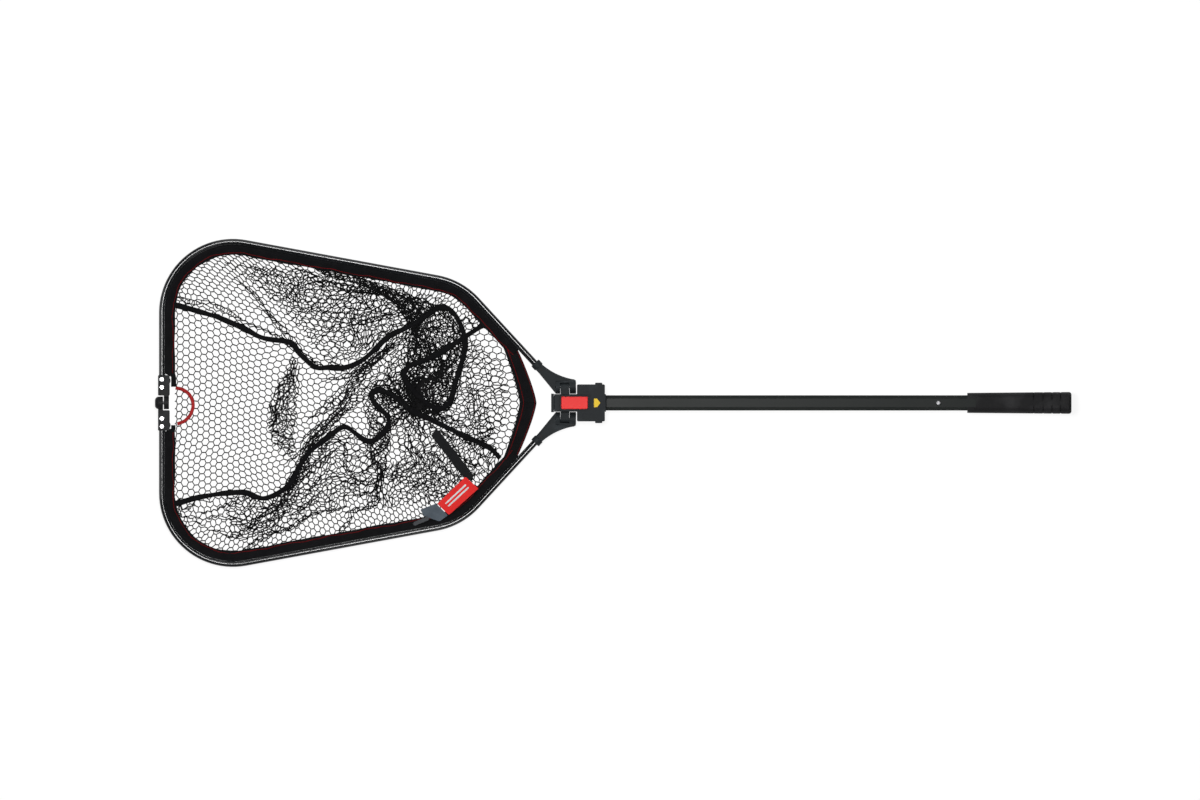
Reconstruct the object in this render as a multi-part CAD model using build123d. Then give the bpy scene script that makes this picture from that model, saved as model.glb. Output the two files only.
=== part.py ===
"""Folding landing net: a two-winged hoop that folds like a book on a locking block, with a sliding pole.

Millimetres. X runs along the pole towards the grip, Y to the right-hand wing, Z up. The origin is the
centre of the block's flat underside. The right-hand pieces are drawn and the left-hand ones mirrored.
"""
from build123d import *
import os
from math import atan2, degrees, hypot, sqrt

os.makedirs("parts", exist_ok=True)

# Pole: octagonal aluminium tube, its grip and its snap pins
POLE_WIDTH = 27.4
POLE_HEIGHT = 23.0
POLE_CORNER = 6.0
POLE_WALL = 1.2
POLE_AXIS_Z = 20.0
POLE_END_X = 878.0
SLIDE_GAP = 0.35
PIN_SPACING = 650.0
PIN_X = -4.7
SNAP_PIN_RADIUS = 3.9
SNAP_PIN_HEAD = 0.9
SNAP_PIN_RISE = 3.0
SNAP_HOLE_GAP = 0.35
LEAF_THICK = 0.8
LEAF_WIDTH = 5.0
LEAF_LENGTH = 30.0
LEAF_SEAT = 3.5
LEAF_HEEL = 6.0
LEAF_GAP = 0.1
SNAP_PIN_DEPTH = 8.0
SNAP_PIN_EDGE = 1.0
SNAP_FLANGE_THICK = 1.1
PLUG_FLANGE = 5.2
PLUG_LIP = 1.5
PLUG_GAP = 0.3
PLUG_DEPTH = 22.0
PLUG_FIT = 0.05
PLUG_CORNER = 4.0
BUTT_PLUG_LENGTH = 17.5
GRIP_STOP_GAP = 0.35
GRIP_SCALLOP = 16.2
GRIP_END_X = 884.7
GRIP_FRONT_WIDTH = 36.0
GRIP_BUTT_WIDTH = 39.4
GRIP_RIB_X = (815.6, 832.7, 848.7, 864.0)
GRIP_RIB_DEPTH = 0.9
GRIP_RIB_WIDTH = 2.2
GRIP_FRONT_CORNER = 11.0
GRIP_BUTT_CORNER = 12.0
GRIP_BUTT_EDGE = 5.0
GRIP_FLATTENED = 1.0

# Block
BLOCK_HEIGHT = 44.0
BAR_LENGTH = 93.5
BAR_WALL = 2.1
HOUSING_FRONT_X = -5.4
HOUSING_BACK_X = 44.8
HOUSING_WIDTH = 66.6
HOUSING_RIB_WIDTH = 72.8
HOUSING_RIB_LENGTH = 12.9
HOUSING_RIB_BACK_X = 40.1
HOUSING_CORNER = 2.5
HOUSING_RIB_CORNER = 1.5
COVER_EDGE = 1.0
PAD_MIDDLE_X = 15.5
PAD_LENGTH = 21.0
PAD_WIDTH = 9.4
PAD_DEPTH = 0.8
PAD_CORNER = 1.5
ROOF_WALL = 1.75
SEAM_GAP = 0.02
DECK_FLOOR = 1.4
RECESS_DEPTH = 4.0
RECESS_BACK_X = 19.4
RECESS_LENGTH = 56.3
RECESS_WIDTH = 29.6
RECESS_CORNER = 3.5
BUTTON_FRONT_X = -33.3
BUTTON_LENGTH = 47.0
BUTTON_WIDTH = 21.6
BUTTON_CORNER = 2.5
BUTTON_EDGE = 0.8
BUTTON_RIM = 2.2
BUTTON_RIM_HEIGHT = 0.5
BUTTON_ROOF = 2.2
BUTTON_PROUD = 1.2
BUTTON_WALL = 1.5
BUTTON_GAP = 0.5
BUTTON_LIP = 1.3
BUTTON_LIP_THICK = 1.2
BUTTON_LIP_GAP = 0.3
BUTTON_FOOT_GAP = 0.5
BUTTON_SPRING_X = -21.3
BUTTON_SPRING_RADIUS = 3.0
BUTTON_SPRING_WIRE = 0.6
BUTTON_SPRING_TURNS = 5
SPRING_END_GAP = 0.1
ARROW_BACK_X = 36.5
ARROW_LENGTH = 11.3
ARROW_WIDTH = 15.6
ARROW_DEPTH = 0.8
ARROW_PROUD = 0.15
ARROW_FIT = 0.05
SCREW_RADIUS = 1.75
SCREW_HEAD_RADIUS = 3.4
SCREW_HEAD = 2.6
SCREW_X = (10.0, 33.5)
SCREW_Y = 25.0
SCREW_SUNK = 0.6
SCREW_SOCKET_RADIUS = 1.5
SCREW_SOCKET_DEPTH = 1.4
SCREW_HEAD_FIT = 0.1
SCREW_TIP_DEPTH = 3.5
SCREW_HOLE_PAST_TIP = 0.5

# Fold hinges: the root pivots in the block and the shared pivot at the far end of the hoop
PIVOT_X = -27.5
PIVOT_Y = 29.0
PIVOT_Z = 22.0
TIP_PIVOT_X = -744.5
HINGE_PIN_RADIUS = 2.5
PIN_FIT = 0.06
TONGUE_WIDTH = 16.0
TONGUE_RADIUS = 6.8
EAR_RADIUS = 11.2
EAR_GAP = 0.4
FRONT_EAR = 7.6
REAR_EAR = 11.9
HINGE_PIN_SUNK = 0.3

# Hoop rails, measured on the centre line of the tube
RAIL_RADIUS = 5.0
RAIL_BORE = 3.0
RAIL_BORE_SHIFT = 1.1
CHANNEL_RADIUS = 2.3
CHANNEL_BORE = 1.45
CHANNEL_SHIFT = 4.3
CHANNEL_SLOT = 1.2
RAIL_Z = 14.3
FAR_X = -752.8
FAR_CORNER_Y = 316.0
NEAR_CORNER_X = -214.8
NEAR_CORNER_Y = 217.3
SOCKET_X = -81.1
SOCKET_Y = 72.2
BEND_RADIUS = 128.0
RAIL_SEATED = 24.0
RAIL_FIT = 0.05
RAIL_INTO_BRACKET = 3.0
RAIL_END_GAP = 0.3

# Arms
ARM_BOTTOM_Z = 7.3
ARM_TOP_Z = 21.3
ARM_OUTER_Y = 42.8
ARM_BAR_GAP = 0.6
COLLAR_RADIUS = 9.15
COLLAR_LENGTH = 10.7
NECK_WIDTH = 14.8
PANEL_DEPTH = 1.0
PANEL_INSET = 2.6
ARM_EDGE = 0.8
ARM_REAR_CORNER = 5.5
ARM_HOLLOW_BACK = 2.0
ARM_HOLLOW_DEPTH = 3.6
ARM_SHOULDER = 6.5
COLLAR_EDGE = 1.2
ARM_RIVET_BACK = 5.5
ARM_RIVET_HEAD_RADIUS = 3.2
TONGUE_CLEAR = 0.6
RIVET_RADIUS = 2.0
RIVET_HEAD_RADIUS = 4.1
RIVET_HEAD = 0.9
RIVET_TAIL = 1.0
RIVET_TAIL_RADIUS = 3.5
RIVET_FIT = 0.02

# Far brackets
BRACKET_WIDTH = 21.0
BRACKET_FRONT_X = -738.5
BRACKET_LENGTH = 50.0
BRACKET_START = 13.2
BRACKET_BOTTOM_Z = 8.2
BRACKET_TOP_Z = 20.4
KNUCKLE_RADIUS = 11.4
INNER_KNUCKLE = 9.4
OUTER_KNUCKLE = 14.6
KNUCKLE_GAP = 1.3
DOME_RADIUS = 7.0
TIP_PIN_RADIUS = 3.0
TIP_PIN_GAP = 0.55
RIVET_Y = (28.0, 42.5)
EAR_BULGE_RADIUS = 8.5
EAR_BULGE_Y = 40.0
EAR_BULGE_PROUD = 1.5
BRACKET_CORNER = 2.0
BRACKET_EDGE = 0.6
LEAF_CLEAR = 0.5
DOME_WALL = 2.2

# Net
WELT_FIT = 0.1
BAND_THICK = 0.9
BAND_REACH = 22.8
BAND_DROP = 8.0
BAND_END_Y = 52.0
BAND_THROAT_Y = 100.0
PIPING_RADIUS = 1.2
PIPING_INSET = 3.2
PIPING_LIFT = 0.05
THROAT_INNER_X = -108.5
THROAT_WIDTH = 30.0
THROAT_Z = 2.6
THROAT_CENTRE_HALF = 27.0
THROAT_END_Y = 84.0
THROAT_SWEEP_BACK = 12.0
BAG_INSET = 25.0
BAG_HEIGHT = 6.6
BAG_HEAP_HEIGHT = 15.0
BAG_CENTRE_HALF = 29.5
BAG_SPLIT_GAP = 0.6
BAG_NEAR_X = -112.0
BAG_CENTRE_FAR_X = -690.0
TAPE_WIDTH = 9.0
TAPE_THICK = 0.8
LOOP_WIDTH = 5.5
LOOP_THICK = 1.6
LOOP_Z = 2.5
LOOP_BEND = 9.0
LOOP_ROUTE = [(-730, 22), (-715, 24), (-700, 12), (-696, -6), (-702, -26), (-722, -27)]
WRAP_Z = 12.0
WRAP_THICK = 1.8
WRAP_LAYER_GAP = 0.1
STRAP_WIDTH = 17.0
STRAP_ENDS = ((-263.0, -52.0), (-196.5, -137.5))
LABEL_CORNERS = ((-206.5, -132.8), (-182.5, -154.1), (-235.8, -201.8), (-257.0, -181.6))
TAB_CORNERS = ((-263.0, -178.0), (-241.5, -205.4), (-254.5, -213.0), (-279.9, -203.6), (-289.1, -196.2))
TAIL_ENDS = ((-276.0, -209.5), (-300.0, -218.5))
TAIL_WIDTH = 7.0
TAIL_THICK = 1.4
RIGHT_HEAP = (-520.0, -190.0, 150.0)
LEFT_HEAP = (-630.0, -440.0, 140.0)
RIGHT_TAPE = [(-700, 140), (-600, 112), (-500, 92), (-400, 96), (-300, 120), (-190, 128)]
LEFT_TAPE = [(-700, -150), (-600, -120), (-480, -70), (-380, -48), (-300, -40), (-160, -60)]
TAPE_LIFT = 0.3
BAG_CENTRE_DROP = 0.6

# Places worked out from the dimensions above
POLE_BOTTOM_Z = POLE_AXIS_Z - POLE_HEIGHT / 2
POLE_TOP_Z = POLE_AXIS_Z + POLE_HEIGHT / 2
BAR_FRONT_X = -BAR_LENGTH / 2
BAR_WIDTH = POLE_WIDTH + 2 * BAR_WALL
ARM_INNER_Y = BAR_WIDTH / 2 + ARM_BAR_GAP
BODY_TOP_Z = POLE_TOP_Z + SLIDE_GAP + ROOF_WALL
COVER_BOTTOM_Z = BODY_TOP_Z + SEAM_GAP
RECESS_FLOOR_Z = BLOCK_HEIGHT - RECESS_DEPTH
DECK_BOTTOM_Z = RECESS_FLOOR_Z - DECK_FLOOR
LIP_TOP_Z = DECK_BOTTOM_Z - BUTTON_LIP_GAP
LIP_BOTTOM_Z = LIP_TOP_Z - BUTTON_LIP_THICK
BUTTON_TOP_Z = BLOCK_HEIGHT + BUTTON_PROUD
FOOT_Z = POLE_TOP_Z + SNAP_PIN_RISE + BUTTON_FOOT_GAP
GRIP_START_X = BAR_LENGTH / 2 + PIN_SPACING + GRIP_STOP_GAP
CORNER_SLOPE = 2 - sqrt(2)
TIP_PIN_BACK_X = TIP_PIVOT_X - INNER_KNUCKLE / 2 - KNUCKLE_GAP - OUTER_KNUCKLE + DOME_WALL
HINGE_ANGLE = degrees(atan2(PIVOT_Y, PIVOT_X - TIP_PIVOT_X))
SHORT_RUN = (SOCKET_X - NEAR_CORNER_X, SOCKET_Y - NEAR_CORNER_Y)
SHORT_LENGTH = hypot(*SHORT_RUN)
SHORT_DIR = (SHORT_RUN[0] / SHORT_LENGTH, SHORT_RUN[1] / SHORT_LENGTH)
INNER_KNUCKLE_X = (TIP_PIVOT_X - INNER_KNUCKLE / 2, TIP_PIVOT_X + INNER_KNUCKLE / 2)
OUTER_KNUCKLE_X = (INNER_KNUCKLE_X[0] - KNUCKLE_GAP - OUTER_KNUCKLE, INNER_KNUCKLE_X[0] - KNUCKLE_GAP)
FRONT_FACE = -TONGUE_WIDTH / 2 - EAR_GAP - FRONT_EAR
REAR_FACE = TONGUE_WIDTH / 2 + EAR_GAP + REAR_EAR
SOCKET_INNER_DIR = (SHORT_DIR[1], -SHORT_DIR[0])
SEATED_END = (SOCKET_X + RAIL_SEATED * SHORT_DIR[0], SOCKET_Y + RAIL_SEATED * SHORT_DIR[1])
RAIL_START_Y = BRACKET_START + RAIL_INTO_BRACKET
TAPE_Z = BAG_HEIGHT + TAPE_LIFT
LAYER_TWO = WRAP_THICK + WRAP_LAYER_GAP
CUT_PAST = 1.0


def block_between(low, high):
    """Box from its lowest corner to its highest."""
    size = [b - a for a, b in zip(low, high)]
    middle = [(a + b) / 2 for a, b in zip(low, high)]
    return Pos(*middle) * Box(*size)


def plate(outline, bottom, top):
    """Flat sketch in plan, raised between two heights."""
    return extrude(Pos(0, 0, bottom) * outline, amount=top - bottom)


def along_x(section, start, end, height):
    """Section drawn in Y and Z, run along X about the given height."""
    station = Plane((start, 0, height), x_dir=(0, 1, 0), z_dir=(1, 0, 0))
    return extrude(station * section, amount=end - start)


def rod(start, end, radius):
    """Round rod between two points."""
    run = Vector(*end) - Vector(*start)
    return extrude(Plane(start, z_dir=run) * Circle(radius), amount=run.length)


def rounded_box(low, high, radius):
    """Box with rounded upright edges."""
    shape = block_between(low, high)
    return fillet(shape.edges().filter_by(Axis.Z), radius)


def left_of(shape):
    """The left-hand copy of a right-hand piece."""
    return mirror(shape, about=Plane.XZ)


def octagon(grow):
    """The pole's section, grown by a clearance or shrunk by a wall."""
    outline = Rectangle(POLE_WIDTH + 2 * grow, POLE_HEIGHT + 2 * grow)
    return chamfer(outline.vertices(), POLE_CORNER + grow * CORNER_SLOPE)


# Local frame of the right-hand fold hinge: x along its axis towards the grip, y outboard, z up
HINGE_FRAME = Plane((PIVOT_X, PIVOT_Y, PIVOT_Z), z_dir=(0, 0, 1)).rotated((0, 0, HINGE_ANGLE))


def hinge_rod(radius, start, end):
    """Round bar on the right-hand hinge axis, between two distances from the pivot."""
    bar = extrude(Plane.YZ.offset(start) * Circle(radius), amount=end - start)
    return HINGE_FRAME * bar


def hinge_box(low, high):
    """Box in the hinge's own frame."""
    return HINGE_FRAME * block_between(low, high)


def screw_places():
    """The four cover screws, two each side."""
    return [(x, side * SCREW_Y) for x in SCREW_X for side in (-1, 1)]


def block_plan():
    """Outline of the block from above: centre bar, rear housing and its gripping rib."""
    bar = Rectangle(BAR_LENGTH, BAR_WIDTH)
    housing_length = HOUSING_BACK_X - HOUSING_FRONT_X
    housing = Rectangle(housing_length, HOUSING_WIDTH)
    housing = fillet(housing.vertices(), HOUSING_CORNER)
    rib = Rectangle(HOUSING_RIB_LENGTH, HOUSING_RIB_WIDTH)
    rib = fillet(rib.vertices(), HOUSING_RIB_CORNER)
    outline = bar + Pos(HOUSING_FRONT_X + housing_length / 2, 0) * housing
    return outline + Pos(HOUSING_RIB_BACK_X - HOUSING_RIB_LENGTH / 2, 0) * rib


def make_block_body():
    """Main moulding: the pole's bore below, and a tongue each side for the arms."""
    body = plate(block_plan(), 0, BODY_TOP_Z)
    half = TONGUE_WIDTH / 2
    reach = PIVOT_Y - BAR_WIDTH / 2 + CUT_PAST
    tongue = hinge_rod(TONGUE_RADIUS, -half, half)
    tongue += hinge_box((-half, -reach, -TONGUE_RADIUS), (half, 0, TONGUE_RADIUS))
    tongue -= hinge_rod(HINGE_PIN_RADIUS + RIVET_FIT, -half - CUT_PAST, half + CUT_PAST)
    body += tongue
    body += left_of(tongue)
    body -= along_x(octagon(SLIDE_GAP), BAR_FRONT_X - CUT_PAST, -BAR_FRONT_X + CUT_PAST, POLE_AXIS_Z)
    roof = BODY_TOP_Z + CUT_PAST
    body -= rod((PIN_X, 0, POLE_AXIS_Z), (PIN_X, 0, roof), SNAP_PIN_RADIUS + SNAP_HOLE_GAP)
    for x, y in screw_places():
        body -= rod((x, y, -CUT_PAST), (x, y, roof), SCREW_RADIUS + RIVET_FIT)
        seat = SCREW_SUNK + SCREW_HEAD
        body -= rod((x, y, -CUT_PAST), (x, y, seat), SCREW_HEAD_RADIUS + SCREW_HEAD_FIT)
    return body


def make_block_cover():
    """Top cover: a sunk deck round the button, shallow side pads and the arrow's seat."""
    cover = plate(block_plan(), COVER_BOTTOM_Z, BLOCK_HEIGHT)
    top_rim = cover.faces().sort_by(Axis.Z)[-1].edges()
    cover = chamfer(top_rim, COVER_EDGE)
    front = RECESS_BACK_X - RECESS_LENGTH
    side = RECESS_WIDTH / 2
    low = (front, -side, RECESS_FLOOR_Z)
    cover -= rounded_box(low, (RECESS_BACK_X, side, BLOCK_HEIGHT + CUT_PAST), RECESS_CORNER)
    below = COVER_BOTTOM_Z - CUT_PAST
    cover -= button_prism(BUTTON_GAP, below, BLOCK_HEIGHT)
    cover -= button_prism(BUTTON_LIP + BUTTON_GAP, below, DECK_BOTTOM_Z)
    for side in (-1, 1):
        pad_y = side * (BAR_WIDTH / 2 + HOUSING_WIDTH / 2) / 2
        pad = Pos(PAD_MIDDLE_X, pad_y, BLOCK_HEIGHT) * Box(PAD_LENGTH, PAD_WIDTH, 2 * PAD_DEPTH)
        cover -= fillet(pad.edges().filter_by(Axis.Z), PAD_CORNER)
    cover -= plate(arrow_plan(ARROW_FIT), BLOCK_HEIGHT - ARROW_DEPTH, BLOCK_HEIGHT + CUT_PAST)
    for x, y in screw_places():
        blind = BLOCK_HEIGHT - SCREW_TIP_DEPTH + SCREW_HOLE_PAST_TIP
        cover -= rod((x, y, below), (x, y, blind), SCREW_RADIUS + RIVET_FIT)
    return cover


def button_prism(grow, bottom, top):
    """The button's outline, grown by a gap or a lip."""
    low = (BUTTON_FRONT_X - grow, -BUTTON_WIDTH / 2 - grow, bottom)
    high = (BUTTON_FRONT_X + BUTTON_LENGTH + grow, BUTTON_WIDTH / 2 + grow, top)
    return rounded_box(low, high, BUTTON_CORNER)


def make_release_button():
    """Hollow push button with a retaining lip, a raised rim and a foot over the snap pin."""
    button = button_prism(0, LIP_BOTTOM_Z, BUTTON_TOP_Z)
    button = fillet(button.faces().sort_by(Axis.Z)[-1].edges(), BUTTON_EDGE)
    button += button_prism(BUTTON_LIP, LIP_BOTTOM_Z, LIP_TOP_Z)
    button -= button_prism(-BUTTON_RIM, BUTTON_TOP_Z - BUTTON_RIM_HEIGHT, BUTTON_TOP_Z + CUT_PAST)
    inside = BUTTON_TOP_Z - BUTTON_ROOF
    button -= button_prism(-BUTTON_WALL, LIP_BOTTOM_Z - CUT_PAST, inside)
    button += rod((PIN_X, 0, FOOT_Z), (PIN_X, 0, inside + BUTTON_ROOF / 3), SNAP_PIN_RADIUS)
    return button


def coil(radius, wire, bottom, top, turns):
    """Round compression spring standing on Z, with closed flat ends left plain."""
    rise = top - bottom - 2 * wire
    path = Helix(pitch=rise / turns, height=rise, radius=radius)
    start = Plane(path @ 0, z_dir=path % 0)
    return Pos(0, 0, bottom + wire) * sweep(start * Circle(wire / 2), path=path)


def make_button_spring():
    """Return spring between the block's roof and the inside of the button."""
    bottom = BODY_TOP_Z + SPRING_END_GAP
    top = BUTTON_TOP_Z - BUTTON_ROOF - SPRING_END_GAP
    spring = coil(BUTTON_SPRING_RADIUS, BUTTON_SPRING_WIRE, bottom, top, BUTTON_SPRING_TURNS)
    return Pos(BUTTON_SPRING_X, 0, 0) * spring


def arrow_plan(grow):
    """Arrow plate from above: a rectangle with a pointed back end."""
    front = ARROW_BACK_X - ARROW_LENGTH - grow
    shoulder = ARROW_BACK_X - ARROW_LENGTH * 0.5
    half = ARROW_WIDTH / 2 + grow
    tip = ARROW_BACK_X + grow
    corners = [(front, -half), (shoulder, -half), (tip, 0), (shoulder, half), (front, half)]
    return make_face(Polyline(*corners, close=True))


def make_arrow():
    """Coloured arrow plate set flush in the cover."""
    return plate(arrow_plan(0), BLOCK_HEIGHT - ARROW_DEPTH, BLOCK_HEIGHT + ARROW_PROUD)


def make_cover_screws():
    """Four long screws, driven up from the underside."""
    screws = []
    for x, y in screw_places():
        shank = rod((x, y, SCREW_SUNK), (x, y, BLOCK_HEIGHT - SCREW_TIP_DEPTH), SCREW_RADIUS)
        head = rod((x, y, SCREW_SUNK), (x, y, SCREW_SUNK + SCREW_HEAD), SCREW_HEAD_RADIUS)
        hexagon = RegularPolygon(SCREW_SOCKET_RADIUS, 6)
        socket = Pos(x, y, SCREW_SUNK) * extrude(hexagon, amount=SCREW_SOCKET_DEPTH)
        screws.append(shank + head - socket)
    return Compound(children=screws)


def make_hinge_pin():
    """Pin held by the tongue, on which both ears of the arm turn."""
    return hinge_rod(HINGE_PIN_RADIUS, FRONT_FACE + HINGE_PIN_SUNK, REAR_FACE - HINGE_PIN_SUNK)


def rail_section(grow):
    """Outside of the rail: the tube with the lobe that holds the net's welt. X points inboard."""
    return Circle(RAIL_RADIUS + grow) + Pos(CHANNEL_SHIFT, 0) * Circle(CHANNEL_RADIUS + grow)


def rail_hollows():
    """The tube's bore and the slotted welt channel."""
    slot_reach = CHANNEL_RADIUS + CUT_PAST
    slot = Pos(CHANNEL_SHIFT + slot_reach / 2, 0) * Rectangle(slot_reach, CHANNEL_SLOT)
    channel = Pos(CHANNEL_SHIFT, 0) * Circle(CHANNEL_BORE)
    return Pos(-RAIL_BORE_SHIFT, 0) * Circle(RAIL_BORE) + channel + slot


def rail_path(far_y, near_end):
    """Centre line of the right-hand rail, from the far bracket round both bends."""
    points = [(FAR_X, far_y), (FAR_X, FAR_CORNER_Y), (NEAR_CORNER_X, NEAR_CORNER_Y), near_end]
    at_height = [(x, y, RAIL_Z) for x, y in points]
    return FilletPolyline(*at_height, radius=BEND_RADIUS)


def rail_start(far_y):
    """Section plane at the far end of the path: X inboard, normal along the rail."""
    return Plane((FAR_X, far_y, RAIL_Z), x_dir=(1, 0, 0), z_dir=(0, 1, 0))


def make_rail():
    """Bent extruded rail with its rivet holes."""
    start = rail_start(RAIL_START_Y)
    section = rail_section(0) - rail_hollows()
    rail = sweep(start * section, path=rail_path(RAIL_START_Y, SEATED_END))
    for y in RIVET_Y:
        rail -= rod((FAR_X, y, 0), (FAR_X, y, 2 * RAIL_Z), RIVET_RADIUS + RIVET_FIT)
    x, y = arm_rivet_place()
    rail -= rod((x, y, 0), (x, y, 2 * RAIL_Z), RIVET_RADIUS + RIVET_FIT)
    return rail


def arm_rivet_place():
    """Rivet through the seated end of the rail."""
    back = COLLAR_LENGTH + ARM_RIVET_BACK
    return SOCKET_X + back * SHORT_DIR[0], SOCKET_Y + back * SHORT_DIR[1]


def beside_rail(distance, offset):
    """Point in plan, a distance past the socket's mouth and an offset to the outer side."""
    x = SOCKET_X + distance * SHORT_DIR[0] - offset * SHORT_DIR[1]
    y = SOCKET_Y + distance * SHORT_DIR[1] + offset * SHORT_DIR[0]
    return x, y


def arm_outline(inset):
    """The arm in plan: ears at the block, a hollow outer edge and a neck at the rail."""
    rear = PIVOT_X + REAR_FACE - inset
    front = PIVOT_X + FRONT_FACE + inset
    outer = ARM_OUTER_Y - inset
    inner = ARM_INNER_Y + inset
    half_neck = NECK_WIDTH / 2 - inset
    mouth = COLLAR_LENGTH - CUT_PAST + inset
    neck_out = beside_rail(mouth, half_neck)
    neck_in = beside_rail(mouth, -half_neck)
    waist_in = beside_rail(mouth + 10, -half_neck)
    shoulder = (rear - ARM_SHOULDER, outer)
    hollow_x = (shoulder[0] + neck_out[0]) / 2 - ARM_HOLLOW_BACK
    hollow_y = (shoulder[1] + neck_out[1]) / 2 - ARM_HOLLOW_DEPTH
    edges = [
        Line((front, inner), (rear, inner)),
        Line((rear, inner), (rear, outer)),
        Line((rear, outer), shoulder),
        ThreePointArc(shoulder, (hollow_x, hollow_y), neck_out),
        Line(neck_out, neck_in),
        Line(neck_in, waist_in),
        Line(waist_in, (front, inner)),
    ]
    face = make_face(edges)
    corner = face.vertices().sort_by_distance((rear, outer))[0]
    return fillet(corner, ARM_REAR_CORNER - inset)


def make_arm():
    """Forked arm: two ears on the hinge pin, a plate with a sunk panel, and the rail's socket."""
    arm = plate(arm_outline(0), ARM_BOTTOM_Z, ARM_TOP_Z)
    arm = chamfer(arm.faces().sort_by(Axis.Z)[-1].edges(), ARM_EDGE)
    panel = plate(arm_outline(PANEL_INSET), ARM_TOP_Z - PANEL_DEPTH, ARM_TOP_Z + CUT_PAST)
    clear_of_ears = plate(Rectangle(400, 400), ARM_TOP_Z - 2, ARM_TOP_Z + 2)
    clear_of_ears -= hinge_box((FRONT_FACE - 3, -40, -9), (REAR_FACE + 3, EAR_RADIUS + 1.5, 9))
    arm -= panel & clear_of_ears
    arm += hinge_rod(EAR_RADIUS, FRONT_FACE, REAR_FACE)
    slot_front = FRONT_FACE + FRONT_EAR
    slot_rear = REAR_FACE - REAR_EAR
    root = TONGUE_RADIUS + TONGUE_CLEAR
    arm -= hinge_rod(root, slot_front, slot_rear)
    arm -= hinge_box((slot_front, -40, -40), (slot_rear, 0, 40))
    arm -= hinge_box((slot_front, 0, 0), (slot_rear, root, 40))
    run = Vector(SHORT_DIR[0], SHORT_DIR[1], 0)
    mouth = Plane((SOCKET_X, SOCKET_Y, RAIL_Z), x_dir=(*SOCKET_INNER_DIR, 0), z_dir=run)
    collar = extrude(mouth * Circle(COLLAR_RADIUS), amount=COLLAR_LENGTH)
    arm += fillet(collar.edges(), COLLAR_EDGE)
    arm -= extrude(mouth * rail_section(RAIL_FIT), amount=RAIL_SEATED + RAIL_END_GAP)
    arm -= hinge_rod(HINGE_PIN_RADIUS + PIN_FIT, FRONT_FACE - CUT_PAST, REAR_FACE + CUT_PAST)
    x, y = arm_rivet_place()
    arm -= rod((x, y, 0), (x, y, 2 * RAIL_Z), RIVET_RADIUS + RIVET_FIT)
    return arm


def rivet(x, y, bottom, top):
    """Domed rivet from one face to the other, with a head on both."""
    shank = rod((x, y, bottom), (x, y, top), RIVET_RADIUS)
    head = rod((x, y, top), (x, y, top + RIVET_HEAD), RIVET_HEAD_RADIUS)
    head = fillet(head.faces().sort_by(Axis.Z)[-1].edges(), RIVET_HEAD * 0.75)
    tail = rod((x, y, bottom - RIVET_TAIL), (x, y, bottom), RIVET_TAIL_RADIUS)
    return shank + head + tail


def make_arm_rivet():
    """Rivet that holds the rail in the arm, its head down in the arm's panel."""
    x, y = arm_rivet_place()
    shank = rod((x, y, ARM_BOTTOM_Z), (x, y, ARM_TOP_Z - PANEL_DEPTH), RIVET_RADIUS)
    head = rod((x, y, ARM_TOP_Z - PANEL_DEPTH), (x, y, ARM_TOP_Z), ARM_RIVET_HEAD_RADIUS)
    return shank + head


def make_far_rivets():
    """Two rivets through a far bracket and its rail."""
    pair = [rivet(FAR_X, y, BRACKET_BOTTOM_Z, BRACKET_TOP_Z) for y in RIVET_Y]
    return Compound(children=pair)


def make_bracket(barrel, knuckle):
    """Far bracket of the right-hand side, carrying a knuckle between the two given X places."""
    back = BRACKET_FRONT_X - BRACKET_WIDTH
    low = (back, BRACKET_START, BRACKET_BOTTOM_Z)
    high = (BRACKET_FRONT_X, BRACKET_LENGTH, BRACKET_TOP_Z)
    bracket = rounded_box(low, high, BRACKET_CORNER)
    bulge_x = BRACKET_FRONT_X + EAR_BULGE_PROUD - EAR_BULGE_RADIUS
    bulge = Pos(bulge_x, EAR_BULGE_Y) * Circle(EAR_BULGE_RADIUS)
    bracket += plate(bulge, BRACKET_BOTTOM_Z, BRACKET_TOP_Z)
    bracket = chamfer(bracket.faces().sort_by(Axis.Z)[-1].edges(), BRACKET_EDGE)
    leaf_back = max(knuckle[0], back)
    leaf_low = (leaf_back, 0, BRACKET_BOTTOM_Z + RAIL_INTO_BRACKET)
    leaf_high = (knuckle[1], BRACKET_START + BRACKET_CORNER + CUT_PAST, PIVOT_Z - LEAF_CLEAR)
    bracket += block_between(leaf_low, leaf_high)
    bracket += barrel
    socket_start = rail_start(RAIL_START_Y - RAIL_END_GAP)
    bracket -= extrude(socket_start * rail_section(RAIL_FIT), amount=BRACKET_LENGTH)
    for y in RIVET_Y:
        bracket -= rod((FAR_X, y, 0), (FAR_X, y, BRACKET_TOP_Z + CUT_PAST), RIVET_RADIUS + RIVET_FIT)
    return bracket


def make_left_bracket():
    """Left-hand bracket: the outer knuckle, domed at the far end and bored blind for the pin."""
    back, front = OUTER_KNUCKLE_X
    barrel = rod((back, 0, PIVOT_Z), (front, 0, PIVOT_Z), KNUCKLE_RADIUS)
    barrel = fillet(barrel.faces().sort_by(Axis.X)[0].edges(), DOME_RADIUS)
    bracket = make_bracket(barrel, OUTER_KNUCKLE_X)
    pin_mouth = (front + CUT_PAST, 0, PIVOT_Z)
    bracket -= rod((TIP_PIN_BACK_X, 0, PIVOT_Z), pin_mouth, TIP_PIN_RADIUS + RIVET_FIT)
    return left_of(bracket)


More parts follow.
